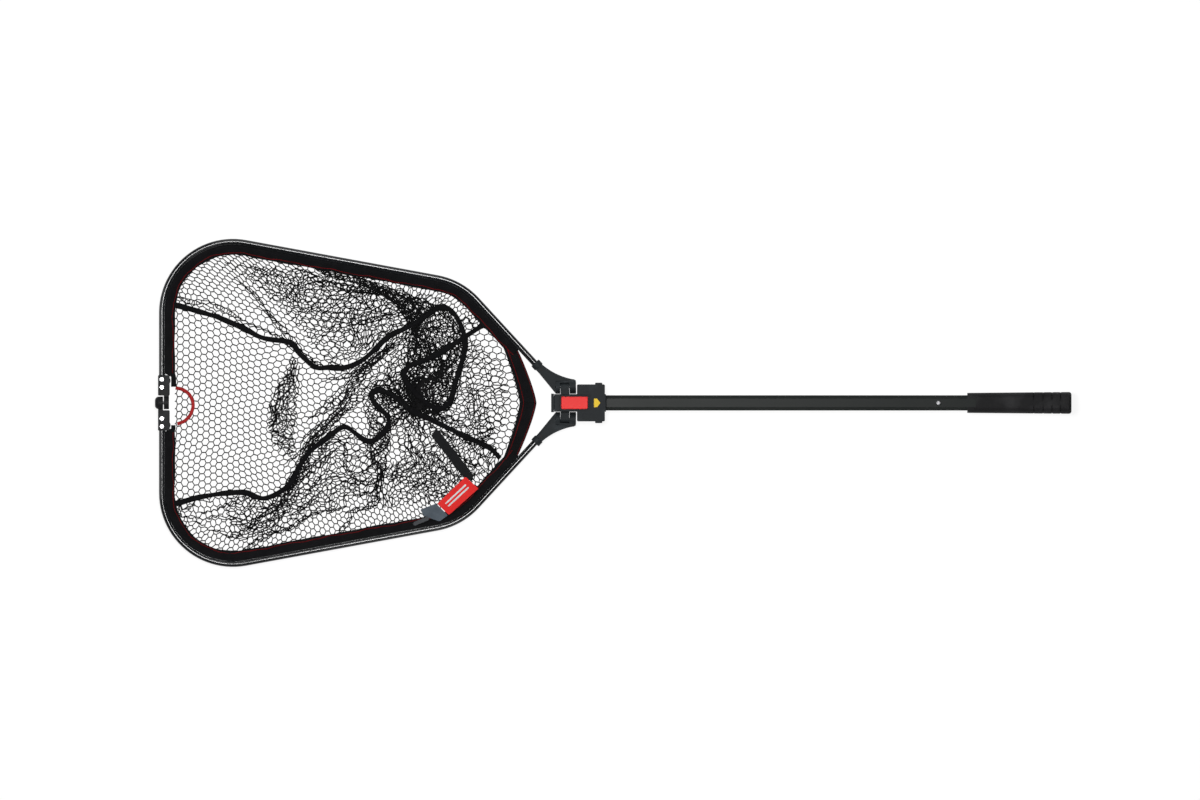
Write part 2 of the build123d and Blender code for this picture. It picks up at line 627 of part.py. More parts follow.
def make_right_bracket():
    """Right-hand bracket: the inner knuckle, with room for the pin to tilt as the wings fold."""
    back, front = INNER_KNUCKLE_X
    barrel = rod((back, 0, PIVOT_Z), (front, 0, PIVOT_Z), KNUCKLE_RADIUS)
    bracket = make_bracket(barrel, INNER_KNUCKLE_X)
    bore = TIP_PIN_RADIUS + TIP_PIN_GAP
    return bracket - rod((back - CUT_PAST, 0, PIVOT_Z), (front + CUT_PAST, 0, PIVOT_Z), bore)


def make_tip_pin():
    """Pin held in the outer knuckle, on which the inner one turns."""
    back = TIP_PIN_BACK_X + PIN_FIT
    front = INNER_KNUCKLE_X[1] - HINGE_PIN_SUNK
    return rod((back, 0, PIVOT_Z), (front, 0, PIVOT_Z), TIP_PIN_RADIUS)


def band_section():
    """The net's edge band: welt in the channel, neck in the slot and tape falling inboard."""
    lip = CHANNEL_SHIFT + CHANNEL_RADIUS
    welt = Pos(CHANNEL_SHIFT, 0) * Circle(CHANNEL_BORE - WELT_FIT)
    half = BAND_THICK / 2
    corners = [
        (CHANNEL_SHIFT, -half),
        (lip + 1, -half),
        (BAND_REACH, -BAND_DROP - half),
        (BAND_REACH, -BAND_DROP + half),
        (lip + 1, half),
        (CHANNEL_SHIFT, half),
    ]
    return welt + make_face(Polyline(*corners, close=True))


def section_start(far_y):
    """Like rail_start, with the section's own Y turned to point up."""
    return Plane((FAR_X, far_y, RAIL_Z), x_dir=(1, 0, 0), z_dir=(0, -1, 0))


def band_near_end():
    """Where the rail carries the band no further, on the short side."""
    share = (BAND_THROAT_Y - NEAR_CORNER_Y) / SHORT_DIR[1]
    return NEAR_CORNER_X + share * SHORT_DIR[0], BAND_THROAT_Y


def make_rim_band():
    """Edge band of the right-hand wing, round both bends."""
    path = rail_path(BAND_END_Y, band_near_end())
    return sweep(section_start(BAND_END_Y) * band_section(), path=path)


def make_rim_piping():
    """Piping sewn along the band, just in from its free edge."""
    lip = CHANNEL_SHIFT + CHANNEL_RADIUS + 1
    slope = BAND_DROP / (BAND_REACH - lip)
    across = BAND_REACH - PIPING_INSET
    rise = BAND_THICK / 2 + PIPING_RADIUS * hypot(1, slope) + PIPING_LIFT
    centre = Pos(across, -slope * (across - lip) + rise)
    path = rail_path(BAND_END_Y, band_near_end())
    return sweep(section_start(BAND_END_Y) * (centre * Circle(PIPING_RADIUS)), path=path)


def throat_slab(low_y, high_y, low_x, high_x, bottom, thick):
    """Flat length of the band where it crosses in front of the block."""
    return block_between((low_x, low_y, bottom), (high_x, high_y, bottom + thick))


def make_throat_side():
    """Right-hand length of the throat band, running out and back to the rail."""
    inner = THROAT_INNER_X
    outer = inner + THROAT_WIDTH
    start = THROAT_CENTRE_HALF + BAG_SPLIT_GAP
    end = THROAT_END_Y
    back = THROAT_SWEEP_BACK
    corners = [(inner, start), (outer, start), (outer - back, end), (inner - back, end)]
    return plate(make_face(Polyline(*corners, close=True)), THROAT_Z, THROAT_Z + BAND_THICK)


def make_throat_centre():
    """Middle of the throat band, below the pole's path."""
    half = THROAT_CENTRE_HALF
    outer = THROAT_INNER_X + THROAT_WIDTH
    return throat_slab(-half, half, THROAT_INNER_X, outer, THROAT_Z, BAND_THICK)


def make_throat_piping():
    """Two short runs of piping on the middle of the throat band."""
    runs = []
    half = THROAT_CENTRE_HALF
    z = THROAT_Z + BAND_THICK + PIPING_RADIUS + PIPING_LIFT
    for x in (THROAT_INNER_X + PIPING_INSET, THROAT_INNER_X + THROAT_WIDTH - PIPING_INSET):
        runs.append(rod((x, -half, z), (x, half, z), PIPING_RADIUS))
    return Compound(children=runs)


def bag_plan():
    """The whole bag from above as it lies slack inside the hoop."""
    near = band_near_end()
    corners = [(FAR_X, FAR_CORNER_Y), (NEAR_CORNER_X, NEAR_CORNER_Y), near]
    ring = corners + [(x, -y) for x, y in reversed(corners)]
    outline = make_face(Polyline(*ring, close=True))
    bends = [v for v in outline.vertices() if abs(v.Y) > near[1] + CUT_PAST]
    outline = fillet(bends, BEND_RADIUS)
    outline = offset(outline, amount=-BAG_INSET)
    wide = 3 * FAR_CORNER_Y
    near_side = Pos(BAG_NEAR_X + wide / 2, 0) * Rectangle(wide, wide)
    return outline - near_side


def make_bag_wing(heap):
    """The right-hand share of the slack bag, with the heap where folds of mesh lie on each other."""
    split = BAG_CENTRE_HALF + BAG_SPLIT_GAP
    reach = FAR_CORNER_Y
    side = bag_plan() & (Pos(FAR_X / 2, split + reach / 2) * Rectangle(-FAR_X, reach))
    bag = plate(side, 0, BAG_HEIGHT)
    low_x, high_x, low_y = heap
    piled = side & (Pos((low_x + high_x) / 2, low_y + reach / 2) * Rectangle(high_x - low_x, reach))
    return bag + plate(piled, BAG_HEIGHT / 2, BAG_HEAP_HEIGHT)


def make_bag_centre():
    """The middle of the slack bag, low enough for the pole to pass over."""
    low = (BAG_CENTRE_FAR_X, -BAG_CENTRE_HALF, 0)
    return block_between(low, (BAG_NEAR_X, BAG_CENTRE_HALF, BAG_HEIGHT - BAG_CENTRE_DROP))


def ribbon(points, width, bottom, thick):
    """Flat ribbon along a bent line in plan."""
    edges = Polyline(*points)
    strip = trace(edges, width)
    return plate(strip, bottom, bottom + thick)


def make_lift_loop():
    """Short loop of webbing sewn in at the far end of the bag."""
    path = FilletPolyline(*[(x, y, LOOP_Z) for x, y in LOOP_ROUTE], radius=LOOP_BEND)
    start = Plane(path @ 0, x_dir=(0, 0, 1), z_dir=path % 0)
    return sweep(start * Rectangle(LOOP_THICK, LOOP_WIDTH), path=path)


def wrap_plate(corners, lift):
    """One flat layer of the wrap strap."""
    bottom = WRAP_Z + lift
    return plate(make_face(Polyline(*corners, close=True)), bottom, bottom + WRAP_THICK)


def make_pole():
    """Straight octagonal tube with the two snap-pin holes."""
    tube = octagon(0) - octagon(-POLE_WALL)
    pole = along_x(tube, BAR_FRONT_X, POLE_END_X, POLE_AXIS_Z)
    for x in (PIN_X, PIN_X + PIN_SPACING):
        pole -= rod((x, 0, POLE_AXIS_Z), (x, 0, POLE_TOP_Z + 1), SNAP_PIN_RADIUS + PIN_FIT)
    return pole


def make_stop_plug():
    """Plug in the pole's front end, whose flange stops it against the block."""
    inside = octagon(-POLE_WALL - PLUG_FIT)
    plug = along_x(inside, BAR_FRONT_X - PLUG_GAP, BAR_FRONT_X + PLUG_DEPTH, POLE_AXIS_Z)
    flange = Rectangle(POLE_WIDTH + 4 * PLUG_LIP, POLE_HEIGHT + 2 * PLUG_LIP)
    flange = fillet(flange.vertices(), PLUG_CORNER)
    face = BAR_FRONT_X - PLUG_GAP
    return plug + along_x(flange, BAR_FRONT_X - PLUG_FLANGE, face, POLE_AXIS_Z)


def make_snap_pin(x):
    """Snap pin with the flange that keeps it in the pole."""
    inner_top = POLE_TOP_Z - POLE_WALL
    pin = rod((x, 0, inner_top - SNAP_PIN_DEPTH), (x, 0, POLE_TOP_Z + SNAP_PIN_RISE), SNAP_PIN_RADIUS)
    pin = fillet(pin.faces().sort_by(Axis.Z)[-1].edges(), SNAP_PIN_EDGE)
    top = inner_top - LEAF_GAP
    flange = rod((x, 0, top - SNAP_FLANGE_THICK), (x, 0, top), SNAP_PIN_RADIUS + SNAP_PIN_HEAD)
    return pin + flange


def make_snap_spring(x):
    """Bent leaf spring under a snap pin, resting on the floor of the pole."""
    bottom = POLE_BOTTOM_Z + POLE_WALL + LEAF_GAP
    top = POLE_TOP_Z - POLE_WALL - SNAP_PIN_DEPTH - LEAF_GAP
    middle = (bottom + top) / 2
    thick = LEAF_THICK
    seat = LEAF_SEAT
    heel = x + LEAF_HEEL
    bend = x + LEAF_LENGTH
    upper = [(x - seat, top), (x + seat, top), (bend, middle + thick)]
    lower = [(bend, middle - thick), (heel, bottom), (x - seat, bottom)]
    inner = [(x - seat, bottom + thick), (heel, bottom + thick), (bend - 2.5 * thick, middle)]
    inner += [(x + seat, top - thick), (x - seat, top - thick)]
    leaf = make_face(Polyline(*(upper + lower + inner), close=True))
    station = Plane((0, LEAF_WIDTH / 2, 0), x_dir=(1, 0, 0), z_dir=(0, -1, 0))
    return extrude(station * leaf, amount=LEAF_WIDTH)


def make_grip():
    """Rubber grip: wider towards the butt, scalloped at its mouth and ribbed round its end."""
    front = Rectangle(GRIP_FRONT_WIDTH, GRIP_FRONT_WIDTH - GRIP_FLATTENED)
    front = fillet(front.vertices(), GRIP_FRONT_CORNER)
    butt = Rectangle(GRIP_BUTT_WIDTH, GRIP_BUTT_WIDTH - GRIP_FLATTENED)
    butt = fillet(butt.vertices(), GRIP_BUTT_CORNER)
    mouth = Plane((GRIP_START_X, 0, POLE_AXIS_Z), x_dir=(0, 1, 0), z_dir=(1, 0, 0))
    end = Plane((GRIP_END_X, 0, POLE_AXIS_Z), x_dir=(0, 1, 0), z_dir=(1, 0, 0))
    grip = loft([(mouth * front).face(), (end * butt).face()])
    grip = fillet(grip.faces().sort_by(Axis.X)[-1].edges(), GRIP_BUTT_EDGE)
    bore_end = POLE_END_X + PLUG_GAP
    grip -= along_x(octagon(RIVET_FIT), GRIP_START_X - CUT_PAST, bore_end, POLE_AXIS_Z)
    above = POLE_TOP_Z + GRIP_BUTT_WIDTH
    grip -= rod((GRIP_START_X, 0, POLE_TOP_Z), (GRIP_START_X, 0, above), GRIP_SCALLOP)
    for x in GRIP_RIB_X:
        ring = Circle(GRIP_BUTT_WIDTH) - Circle(GRIP_BUTT_WIDTH / 2 - GRIP_RIB_DEPTH)
        grip -= along_x(ring, x, x + GRIP_RIB_WIDTH, POLE_AXIS_Z)
    return grip


def make_butt_plug():
    """Plug that closes the pole inside the grip."""
    end = POLE_END_X - PLUG_GAP
    return along_x(octagon(-POLE_WALL - PLUG_FIT), end - BUTT_PLUG_LENGTH, end, POLE_AXIS_Z)


parts = {
    "block_body": make_block_body(),
    "block_cover": make_block_cover(),
    "cover_screws": make_cover_screws(),
    "release_button": make_release_button(),
    "button_spring": make_button_spring(),
    "arrow_inlay": make_arrow(),
    "far_bracket_left": make_left_bracket(),
    "far_bracket_right": make_right_bracket(),
    "far_hinge_pin": make_tip_pin(),
    "throat_band_centre": make_throat_centre(),
    "throat_piping": make_throat_piping(),
    "net_bag_centre": make_bag_centre(),
    "net_bag_right": make_bag_wing(RIGHT_HEAP),
    "net_bag_left": left_of(make_bag_wing(LEFT_HEAP)),
    "seam_tape_right": ribbon(RIGHT_TAPE, TAPE_WIDTH, TAPE_Z, TAPE_THICK),
    "seam_tape_left": ribbon(LEFT_TAPE, TAPE_WIDTH, TAPE_Z, TAPE_THICK),
    "lift_loop": make_lift_loop(),
    "wrap_strap": ribbon(STRAP_ENDS, STRAP_WIDTH, WRAP_Z, WRAP_THICK),
    "wrap_label": wrap_plate(LABEL_CORNERS, LAYER_TWO),
    "wrap_tab": wrap_plate(TAB_CORNERS, LAYER_TWO),
    "wrap_tail": ribbon(TAIL_ENDS, TAIL_WIDTH, WRAP_Z + 2 * LAYER_TWO, TAIL_THICK),
    "pole": make_pole(),
    "pole_stop_plug": make_stop_plug(),
    "snap_pin_front": make_snap_pin(PIN_X),
    "snap_pin_rear": make_snap_pin(PIN_X + PIN_SPACING),
    "snap_spring_front": make_snap_spring(PIN_X),
    "snap_spring_rear": make_snap_spring(PIN_X + PIN_SPACING),
    "grip": make_grip(),
    "butt_plug": make_butt_plug(),
}
mirrored = {
    "hinge_pin": make_hinge_pin(),
    "arm": make_arm(),
    "arm_rivet": make_arm_rivet(),
    "rail": make_rail(),
    "far_rivets": make_far_rivets(),
    "rim_band": make_rim_band(),
    "rim_piping": make_rim_piping(),
    "throat_band": make_throat_side(),
}
for name, shape in mirrored.items():
    parts[name + "_right"] = shape
    parts[name + "_left"] = left_of(shape)

for name, shape in parts.items():
    export_step(shape, f"parts/{name}.step")
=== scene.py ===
"""Looks of the folding landing net: plastics, anodised rails, sewn bands and the slack mesh bag."""
from math import cos, hypot, pi, sin

import bmesh
import bpy
import numpy as np
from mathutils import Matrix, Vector


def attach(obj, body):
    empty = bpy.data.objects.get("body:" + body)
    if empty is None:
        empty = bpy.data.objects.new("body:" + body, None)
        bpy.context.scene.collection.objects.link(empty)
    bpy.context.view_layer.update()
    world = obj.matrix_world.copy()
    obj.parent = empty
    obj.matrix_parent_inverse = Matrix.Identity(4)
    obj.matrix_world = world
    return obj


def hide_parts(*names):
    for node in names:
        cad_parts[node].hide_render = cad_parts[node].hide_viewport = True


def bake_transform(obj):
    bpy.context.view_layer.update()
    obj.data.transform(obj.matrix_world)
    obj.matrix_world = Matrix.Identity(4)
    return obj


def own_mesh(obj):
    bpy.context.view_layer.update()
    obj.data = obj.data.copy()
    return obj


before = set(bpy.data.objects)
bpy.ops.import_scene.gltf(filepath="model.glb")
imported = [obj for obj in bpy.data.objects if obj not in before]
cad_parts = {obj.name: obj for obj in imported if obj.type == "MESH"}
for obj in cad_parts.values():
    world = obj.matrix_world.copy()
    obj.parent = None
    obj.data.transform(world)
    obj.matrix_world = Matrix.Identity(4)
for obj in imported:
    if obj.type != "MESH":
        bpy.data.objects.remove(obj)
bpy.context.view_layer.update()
MM = 0.001


# ---------------------------------------------------------------- camera, lights and floor

VIEW_CENTRE = (0.036, 0.0052)
VIEW_HEIGHT = 3.0
VIEW_WIDTH = 2.160
FLOOR_SIZE = 12.0
FLOOR_Z = -0.0012
FLOOR_GREY = (0.16, 0.16, 0.16)
FLOOR_GLOW = 0.90
WORLD_GLOW = 0.10
WHITE = (1.0, 1.0, 1.0)
LIGHT_AIM = (-0.1, 0.0, 0.0)

# Name, place, size and watts
SOFTBOXES = (
    ("softbox_top", (-0.3, 0.30, 3.4), 0.8, 72),
    ("softbox_rear", (-0.4, 2.2, 1.9), 1.4, 12),
    ("softbox_front", (0.6, -2.3, 1.5), 1.4, 7),
    ("softbox_left", (-2.6, 0.3, 1.6), 1.2, 8),
)


def make_camera():
    """Straight-down view of the net lying on the ground."""
    data = bpy.data.cameras.new("overhead_camera")
    data.type = "ORTHO"
    data.ortho_scale = VIEW_WIDTH
    camera = bpy.data.objects.new("overhead_camera", data)
    camera.location = (*VIEW_CENTRE, VIEW_HEIGHT)
    bpy.context.scene.collection.objects.link(camera)
    bpy.context.scene.camera = camera


def add_softbox(name, place, size, watts):
    """Square area light that faces the net near its block."""
    data = bpy.data.lights.new(name, "AREA")
    data.size = size
    data.energy = watts
    light = bpy.data.objects.new(name, data)
    light.location = place
    light.rotation_euler = (Vector(LIGHT_AIM) - Vector(place)).to_track_quat("-Z", "Y").to_euler()
    bpy.context.scene.collection.objects.link(light)


def make_studio():
    """Pale floor, dim white surroundings and four softboxes."""
    bpy.ops.mesh.primitive_plane_add(size=FLOOR_SIZE, location=(0.0, 0.0, FLOOR_Z))
    floor = bpy.context.object
    floor.name = "studio_floor"
    paper = Shader("studio_paper")
    paper.finish(FLOOR_GREY, 0.9, specular=0.0, glow=WHITE, glow_strength=FLOOR_GLOW)
    floor.data.materials.append(paper.material)
    world = bpy.data.worlds.new("studio_white")
    world.use_nodes = True
    background = world.node_tree.nodes["Background"]
    background.inputs["Color"].default_value = (*WHITE, 1.0)
    background.inputs["Strength"].default_value = WORLD_GLOW
    bpy.context.scene.world = world
    bpy.context.scene.view_settings.view_transform = "Standard"
    for softbox in SOFTBOXES:
        add_softbox(*softbox)


# ---------------------------------------------------------------- shader maths

class Socket:
    """A node's output, so that shader maths reads as an expression."""

    def __init__(self, shader, link):
        self.shader = shader
        self.link = link

    def _math(self, operation, first, second=0.0):
        """One Math node."""
        return self.shader.node("ShaderNodeMath", {"operation": operation}, {0: first, 1: second})

    def __add__(self, other): return self._math("ADD", self, other)
    def __radd__(self, other): return self._math("ADD", other, self)
    def __sub__(self, other): return self._math("SUBTRACT", self, other)
    def __rsub__(self, other): return self._math("SUBTRACT", other, self)
    def __mul__(self, other): return self._math("MULTIPLY", self, other)
    def __rmul__(self, other): return self._math("MULTIPLY", other, self)
    def sine(self): return self._math("SINE", self)


class Shader:
    """One procedural material on the Principled shader."""

    def __init__(self, name):
        self.material = bpy.data.materials.new(name)
        self.material.use_nodes = True
        self.tree = self.material.node_tree
        self.shell = self.tree.nodes["Principled BSDF"]

    def node(self, kind, settings, values, output=0):
        """Any node, from its type, its settings and what its sockets are given."""
        made = self.tree.nodes.new(kind)
        for name, value in settings.items():
            setattr(made, name, value)
        for key, value in values.items():
            self.feed(made.inputs[key], value)
        return Socket(self, made.outputs[output])

    def feed(self, target, value):
        """Links a socket, or sets its value."""
        if isinstance(value, Socket):
            self.tree.links.new(value.link, target)
        elif isinstance(value, tuple) and target.type == "RGBA":
            target.default_value = (*value[:3], 1.0)
        else:
            target.default_value = value

    def place(self):
        """Where a point lies, in metres."""
        return self.node("ShaderNodeTexCoord", {}, {}, "Object")

    def cloth(self, part):
        """U or V of the piece's own map, in metres."""
        uv = self.node("ShaderNodeTexCoord", {}, {}, "UV")
        return self.node("ShaderNodeSeparateXYZ", {}, {0: uv}, part)

    def noise(self, scale, detail, stretch=(1, 1, 1)):
        """Grain of about 1/scale metres, stretched along an axis by a number below 1."""
        values = {0: self.place(), 1: stretch}
        spot = self.node("ShaderNodeVectorMath", {"operation": "MULTIPLY"}, values)
        values = {"Vector": spot, "Scale": scale, "Detail": detail}
        return self.node("ShaderNodeTexNoise", {}, values)

    def mix(self, share, first, second):
        """Colour between two others."""
        return self.node("ShaderNodeMix", {"data_type": "RGBA"}, {0: share, 6: first, 7: second}, 2)

    def spread(self, value, low, high):
        """Takes the range low to high out to 0 to 1."""
        values = {"Value": value, "From Min": low, "From Max": high}
        return self.node("ShaderNodeMapRange", {}, values)

    def finish(self, base, rough, metal=0.0, height=None, depth=0.0002, strength=0.5, **fixed):
        """Feeds the shell; height in 0 to 1 lifts the surface by up to depth metres."""
        feeds = {"Base Color": base, "Roughness": rough, "Metallic": metal}
        names = {"glow": "Emission Color", "glow_strength": "Emission Strength",
                 "sheen": "Sheen Weight", "specular": "Specular IOR Level"}
        feeds.update({names[key]: value for key, value in fixed.items()})
        for key, value in feeds.items():
            self.feed(self.shell.inputs[key], value)
        if height is not None:
            values = {"Strength": strength, "Distance": depth, "Height": height}
            bump = self.node("ShaderNodeBump", {}, values)
            self.feed(self.shell.inputs["Normal"], bump)
        return self.material


# ---------------------------------------------------------------- materials

PLASTIC_SPECULAR = 0.12


def moulded_plastic(name, dark, pale, rough=0.5):
    """Grained moulding, a little paler where it has been handled."""
    s = Shader(name)
    grain = s.noise(1500.0, 2.0)
    handled = s.spread(s.noise(38.0, 4.0), 0.48, 0.72)
    scratch = s.spread(s.noise(260.0, 3.0, (1.0, 7.0, 7.0)), 0.66, 0.72)
    base = s.mix(handled * 0.6 + scratch * 0.3, dark, pale)
    rough = rough + 0.14 * grain - 0.1 * scratch
    return s.finish(base, rough, height=grain, depth=0.00012, specular=PLASTIC_SPECULAR)


RUBBED_METAL = (0.06, 0.064, 0.068)


def anodised(name, dark, tint, rough, stretch, specular):
    """Anodised extrusion: fine lines along the draw, faint clouding of the dye."""
    s = Shader(name)
    lines = s.noise(900.0, 2.0, stretch)
    cloud = s.spread(s.noise(9.0, 3.0), 0.35, 0.7)
    rub = s.spread(s.noise(150.0, 4.0, stretch), 0.64, 0.74)
    base = s.mix(cloud, dark, tint)
    base = s.mix(rub * 0.25, base, RUBBED_METAL)
    finish = rough + 0.06 * lines + 0.05 * cloud
    return s.finish(base, finish, height=lines, depth=0.00003, specular=specular)


def bright_metal(name, colour, rough):
    """Bare steel or aluminium with turning marks."""
    s = Shader(name)
    marks = s.noise(2600.0, 2.0)
    dull = s.spread(s.noise(420.0, 3.0), 0.4, 0.7)
    base = s.mix(dull, colour, tuple(0.55 * part for part in colour))
    return s.finish(base, rough + 0.2 * dull, metal=1.0, height=marks, depth=0.00003)


def coloured_plastic(name, colour, worn):
    """Bright moulded plastic of the button and the arrow."""
    s = Shader(name)
    grain = s.noise(1900.0, 1.0)
    wear = s.spread(s.noise(120.0, 4.0), 0.55, 0.75)
    base = s.mix(wear * 0.5, colour, worn)
    rough = 0.32 + 0.18 * grain
    return s.finish(base, rough, height=grain, depth=0.00006, specular=PLASTIC_SPECULAR)


def woven_tape(name, dark, pale, thread):
    """Webbing: warp and weft threads that pass over each other, on the tape's own map, with painted
    shade in the gaps between the threads.
    """
    s = Shader(name)
    along = s.cloth("X") * (2 * pi / thread)
    across = s.cloth("Y") * (2 * pi / thread)
    weave = along.sine() * across.sine() * 0.5 + 0.5
    twill = ((along + across) * 0.5).sine() * 0.5 + 0.5
    fuzz = s.noise(2400.0, 2.0)
    soil = s.spread(s.noise(55.0, 4.0), 0.4, 0.75)
    # Painted shade: the base colour follows the weave's relief, darker in the gaps between the
    # threads where shade falls.
    weave_relief_shade = weave * 0.55 + twill * 0.25 + fuzz * 0.2
    base = s.mix(weave_relief_shade * 0.75 + soil * 0.25, dark, pale)
    return s.finish(base, 0.78 + 0.15 * fuzz, height=weave_relief_shade, depth=0.0003, strength=0.7,
                    sheen=0.02, specular=0.05)


def coated_twine():
    """Rubber-coated knotless twine."""
    s = Shader("coated_twine")
    lump = s.noise(900.0, 2.0)
    dust = s.spread(s.noise(30.0, 3.0), 0.5, 0.8)
    base = s.mix(dust * 0.5, (0.003, 0.003, 0.0033), (0.010, 0.0105, 0.011))
    return s.finish(base, 0.5 + 0.2 * lump, height=lump, depth=0.0002, specular=0.12)


HOOK_ROW = 0.0016


def hook_tape():
    """Hook-and-loop tape: a nap of fine loops in rows."""
    s = Shader("hook_tape")
    nap = s.noise(1700.0, 4.0)
    rows = (s.cloth("X") * (2 * pi / HOOK_ROW)).sine() * 0.5 + 0.5
    base = s.mix(nap * 0.6 + rows * 0.3, (0.003, 0.003, 0.0035), (0.026, 0.027, 0.029))
    height = nap * 0.7 + rows * 0.3
    return s.finish(base, 0.9, height=height, depth=0.0006, strength=0.8, sheen=0.05, specular=0.1)


def grip_rubber():
    """Moulded rubber with a fine stipple, polished where the hand rests."""
    s = Shader("grip_rubber")
    stipple = s.node("ShaderNodeTexVoronoi", {}, {"Vector": s.place(), "Scale": 1150.0})
    worn = s.spread(s.noise(24.0, 3.0), 0.45, 0.7)
    base = s.mix(worn * 0.6, (0.009, 0.009, 0.010), (0.022, 0.022, 0.024))
    rough = 0.62 - 0.14 * worn + 0.1 * stipple
    return s.finish(base, rough, height=stipple, depth=0.00022, specular=0.22)


TAPE_BLACK = (0.003, 0.003, 0.0035)

# Finish: material name, colour in the gaps (painted shade between the threads), colour of the
# threads, thread width
TAPES = {
    "band": ("band_tape", TAPE_BLACK, (0.014, 0.014, 0.0155), 0.0013),
    "piping": ("piping_cord", (0.035, 0.002, 0.003), (0.19, 0.009, 0.011), 0.0016),
    "seam": ("seam_tape", TAPE_BLACK, (0.011, 0.011, 0.012), 0.0012),
    "loop": ("loop_webbing", (0.20, 0.006, 0.008), (0.62, 0.05, 0.05), 0.0019),
    "label": ("label_cloth", (0.72, 0.020, 0.020), (0.92, 0.055, 0.05), 0.0010),
    "pale_thread": ("pale_thread", (0.6, 0.6, 0.6), (0.9, 0.9, 0.9), 0.0009),
    "tab": ("tab_cloth", (0.05, 0.062, 0.078), (0.15, 0.18, 0.21), 0.0014),
    "tail": ("tail_tape", (0.03, 0.032, 0.036), (0.14, 0.145, 0.155), 0.0012),
}


def make_plastics():
    """Mouldings of the block, arms and brackets, the button and the arrow."""
    cover_dark, cover_pale = (0.015, 0.018, 0.0205), (0.030, 0.036, 0.041)
    bracket_dark, bracket_pale = (0.011, 0.0115, 0.0125), (0.028, 0.03, 0.033)
    return {
        "moulded": moulded_plastic("block_moulding", (0.019, 0.0225, 0.025), (0.038, 0.046, 0.052)),
        "cover": moulded_plastic("cover_moulding", cover_dark, cover_pale, 0.46),
        "bracket": moulded_plastic("bracket_moulding", bracket_dark, bracket_pale, 0.42),
        "button": coloured_plastic("red_button", (0.88, 0.030, 0.028), (0.90, 0.07, 0.06)),
        "arrow": coloured_plastic("yellow_arrow", (0.86, 0.58, 0.02), (0.7, 0.45, 0.03)),
    }


def make_metals():
    """Pins, rivets and the two anodised extrusions."""
    even, drawn = (1, 1, 1), (0.03, 1, 1)
    rail_dark, rail_tint = (0.004, 0.0045, 0.0055), (0.008, 0.009, 0.011)
    pole_dark, pole_tint = (0.009, 0.012, 0.011), (0.016, 0.019, 0.0175)
    return {
        "steel": bright_metal("bare_steel", (0.56, 0.56, 0.58), 0.28),
        "snap_steel": bright_metal("snap_pin_steel", (0.33, 0.33, 0.34), 0.35),
        "rivet": bright_metal("rivet_aluminium", (0.8, 0.8, 0.81), 0.3),
        "rail": anodised("rail_anodising", rail_dark, rail_tint, 0.13, even, 0.6),
        "pole": anodised("pole_anodising", pole_dark, pole_tint, 0.36, drawn, 0.14),
    }


def make_materials():
    """Every finish of the net, by name."""
    finishes = {**make_plastics(), **make_metals()}
    finishes.update({finish: woven_tape(*recipe) for finish, recipe in TAPES.items()})
    finishes.update(grip=grip_rubber(), strap=hook_tape(), twine=coated_twine())
    return finishes


NODE_FINISH = {
    "block_body": "moulded", "block_cover": "cover", "cover_screws": "steel",
    "release_button": "button", "button_spring": "steel", "arrow_inlay": "arrow",
    "far_hinge_pin": "steel", "pole": "pole", "pole_stop_plug": "moulded",
    "snap_pin_front": "snap_steel", "snap_pin_rear": "snap_steel", "snap_spring_front": "steel",
    "snap_spring_rear": "steel", "grip": "grip", "butt_plug": "moulded",
}
PAIR_FINISH = {
    "far_bracket": "bracket", "hinge_pin": "steel", "arm": "moulded", "arm_rivet": "bracket",
    "rail": "rail", "far_rivets": "rivet",
}


def dress_nodes(finishes):
    """Gives every rigid CAD node its finish."""
    wanted = dict(NODE_FINISH)
    for stem, finish in PAIR_FINISH.items():
        wanted[stem + "_left"] = finish
        wanted[stem + "_right"] = finish
    for name, finish in wanted.items():
        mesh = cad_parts[name].data
        mesh.materials.clear()
        mesh.materials.append(finishes[finish])


# Spring's node, the joint that presses it and the body that holds it
SPRINGS = (
    ("button_spring", "button_press", "block"),
    ("snap_spring_front", "front_pin_press", "pole"),
    ("snap_spring_rear", "rear_pin_press", "pole"),
)


def make_springs():
    """Copies of the springs under the button and the snap pins, each attached to the body that
    holds it.
    """
    for node, joint, body in SPRINGS:
        piece = bpy.data.objects.new(node + "_wire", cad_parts[node].data.copy())
        bpy.context.scene.collection.objects.link(piece)
        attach(piece, body)
        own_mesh(piece)
        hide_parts(node)


# ---------------------------------------------------------------- mesh helpers

def new_piece(name, points, faces, material, uv=None):
    """Object at the origin from points in metres, with an optional map value for each point."""
    mesh = bpy.data.meshes.new(name)
    mesh.from_pydata([tuple(p) for p in points], [], [tuple(f) for f in faces])
    if uv is not None:
        layer = mesh.uv_layers.new(name="UVMap")
        corner_points = np.zeros(len(mesh.loops), np.int32)
        mesh.loops.foreach_get("vertex_index", corner_points)
        layer.data.foreach_set("uv", np.asarray(uv, np.float32)[corner_points].ravel())
    mesh.polygons.foreach_set("use_smooth", [True] * len(mesh.polygons))
    mesh.materials.append(material)
    mesh.update()
    piece = bpy.data.objects.new(name, mesh)
    bpy.context.scene.collection.objects.link(piece)
    return piece


def apply_modifier(piece, kind, **settings):
    """Adds one modifier and applies it."""
    bpy.ops.object.select_all(action="DESELECT")
    bpy.context.view_layer.objects.active = piece
    piece.select_set(True)
    modifier = piece.modifiers.new(kind.lower(), kind)
    for name, value in settings.items():
        setattr(modifier, name, value)
    bpy.ops.object.modifier_apply(modifier=modifier.name)
    piece.select_set(False)


def grid_faces(rows, columns, wrap=False):
    """Quads of a grid of points, row by row; wrap joins the last column to the first."""
    last = columns if wrap else columns - 1
    faces = []
    for i in range(rows - 1):
        low, high = i * columns, (i + 1) * columns
        for j in range(last):
            k = (j + 1) % columns
            faces.append((low + j, low + k, high + k, high + j))
    return faces


